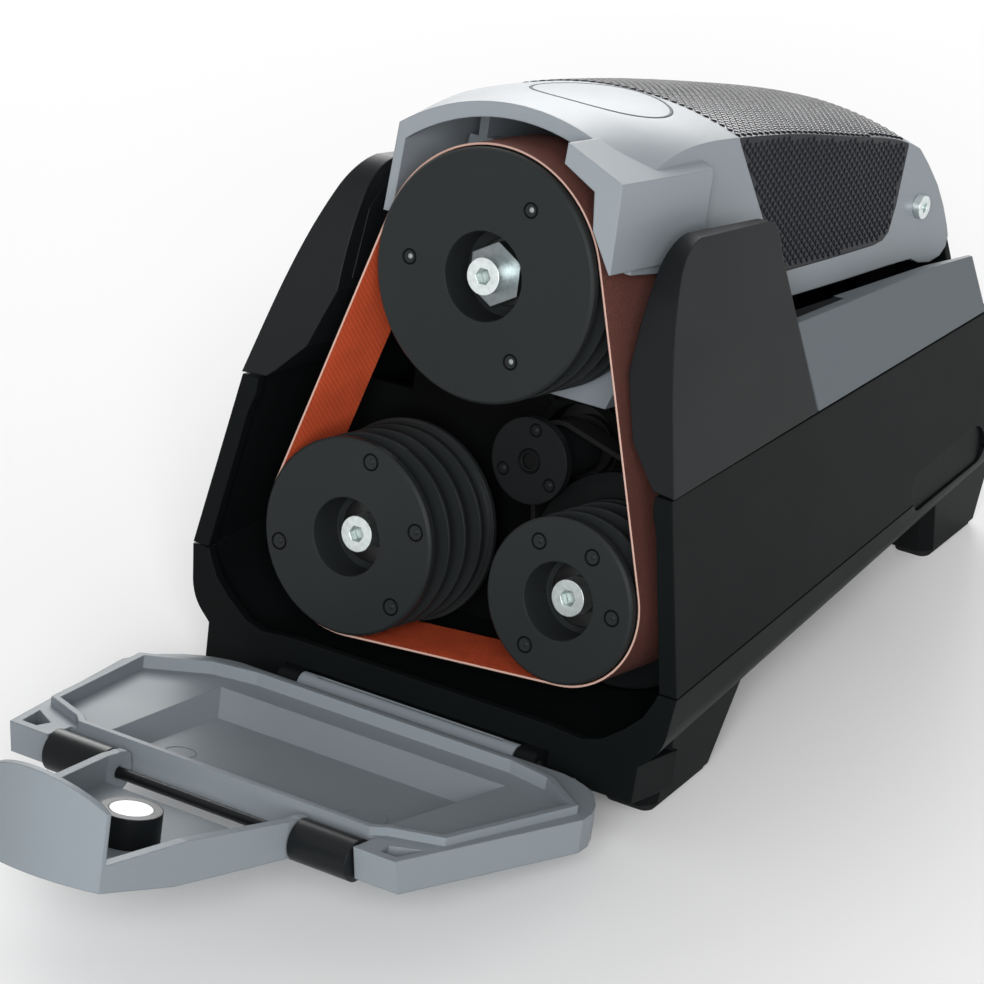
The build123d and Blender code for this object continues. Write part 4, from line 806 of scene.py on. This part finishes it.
# ---------------------------------------------------------------- studio pieces
def floor_material():
    """Pale floor that turns white, to the camera only, away from the object."""
    n = MaterialNodes("studio_floor")
    n.shader.inputs["Roughness"].default_value = FLOOR_ROUGH
    n.shader.inputs["Specular IOR Level"].default_value = DULL
    n.colour(n.noise(*FLOOR_DRIFT), settings().floor_colour, NOISE_SPAN, FLOOR_SHARES)
    reach = n.add("ShaderNodeVectorMath", operation="LENGTH")
    n.link(n.coordinates, reach.inputs[0])
    away = n.between(reach.outputs["Value"], 0.0, FLOOR_WHITE, *WHITE_REACH)
    mix = n.add("ShaderNodeMixShader")
    n.link(n.math("MULTIPLY", n.add("ShaderNodeLightPath").outputs["Is Camera Ray"], away), mix.inputs["Fac"])
    n.link(n.shader.outputs["BSDF"], mix.inputs[1])
    n.link(n.add("ShaderNodeEmission").outputs["Emission"], mix.inputs[2])
    n.link(mix.outputs["Shader"], n.tree.nodes["Material Output"].inputs["Surface"])
    return n.material


def make_floor():
    mesh = bpy.data.meshes.new("floor")
    bm = bmesh.new()
    bmesh.ops.create_grid(bm, x_segments=1, y_segments=1, size=FLOOR_SIZE)
    bm.to_mesh(mesh)
    bm.free()
    floor = bpy.data.objects.new("floor", mesh)
    mesh.materials.append(floor_material())
    bpy.context.scene.collection.objects.link(floor)


def make_world():
    """White surroundings, dimmer as a light than to the camera and in reflections."""
    world = bpy.data.worlds.new("studio")
    bpy.context.scene.world = world
    world.use_nodes = True
    n = Nodes(world.node_tree)
    rays = n.add("ShaderNodeLightPath").outputs
    shine = n.math("MAXIMUM", rays["Is Transmission Ray"], rays["Is Glossy Ray"])
    seen = n.math("MAXIMUM", rays["Is Camera Ray"], shine)
    background = n.tree.nodes["Background"]
    background.inputs["Color"].default_value = (1, 1, 1, 1)
    n.link(n.between(seen, WORLD_LIGHT, WORLD_SEEN), background.inputs["Strength"])


def make_lamp(name, place, size, watts):
    data = bpy.data.lights.new(name, "AREA")
    data.size = size
    data.energy = watts
    light = bpy.data.objects.new(name, data)
    light.location = place
    light.rotation_euler = (Vector(LAMP_AIM) - Vector(place)).to_track_quat("-Z", "Y").to_euler()
    bpy.context.scene.collection.objects.link(light)


def make_camera():
    data = bpy.data.cameras.new("camera")
    data.sensor_width = SENSOR
    data.lens = FOCAL_PIXELS / IMAGE * data.sensor_width
    data.shift_x = -(CENTRE_PIXEL[0] - IMAGE / 2) / IMAGE
    data.shift_y = (CENTRE_PIXEL[1] - IMAGE / 2) / IMAGE
    camera = bpy.data.objects.new("camera", data)
    yaw, pitch = math.radians(CAMERA_YAW), math.radians(CAMERA_PITCH)
    forward = Vector((-math.sin(yaw) * math.cos(pitch), math.cos(yaw) * math.cos(pitch), -math.sin(pitch)))
    x, y, z = CAMERA_PLACE
    camera.location = Vector((x * MM, y * MM + ORIGIN_Y, z * MM))
    camera.rotation_euler = forward.to_track_quat("-Z", "Y").to_euler()
    bpy.context.scene.collection.objects.link(camera)
    bpy.context.scene.camera = camera
    bpy.context.scene.view_settings.view_transform = "Standard"


# ---------------------------------------------------------------- panel and registration
STEPS = (
    SHARPENER_OT_finish_nodes,
    SHARPENER_OT_sanding_belt,
    SHARPENER_OT_grip_studs,
    SHARPENER_OT_mould_marks,
    SHARPENER_OT_emblem_line,
    SHARPENER_OT_rear_rib,
    SHARPENER_OT_socket_shade,
    SHARPENER_OT_stage,
)


class SHARPENER_PT_panel(bpy.types.Panel):
    """Lists the steps that dress the sharpener"""

    bl_idname = "SHARPENER_PT_panel"
    bl_label = "Sharpener"
    bl_space_type = "VIEW_3D"
    bl_region_type = "UI"
    bl_category = "Sharpener"

    def draw(self, context):
        for step in STEPS:
            self.layout.operator(step.bl_idname)


CLASSES = (SharpenerSettings, *STEPS, SHARPENER_PT_panel)


def register():
    for cls in CLASSES:
        bpy.utils.register_class(cls)
    bpy.types.Scene.sharpener = bpy.props.PointerProperty(type=SharpenerSettings)


def unregister():
    del bpy.types.Scene.sharpener
    for cls in reversed(CLASSES):
        bpy.utils.unregister_class(cls)


def main():
    register()
    for step in STEPS:
        group, name = step.bl_idname.split(".")
        getattr(getattr(bpy.ops, group), name)()


if __name__ == "__main__":
    main()
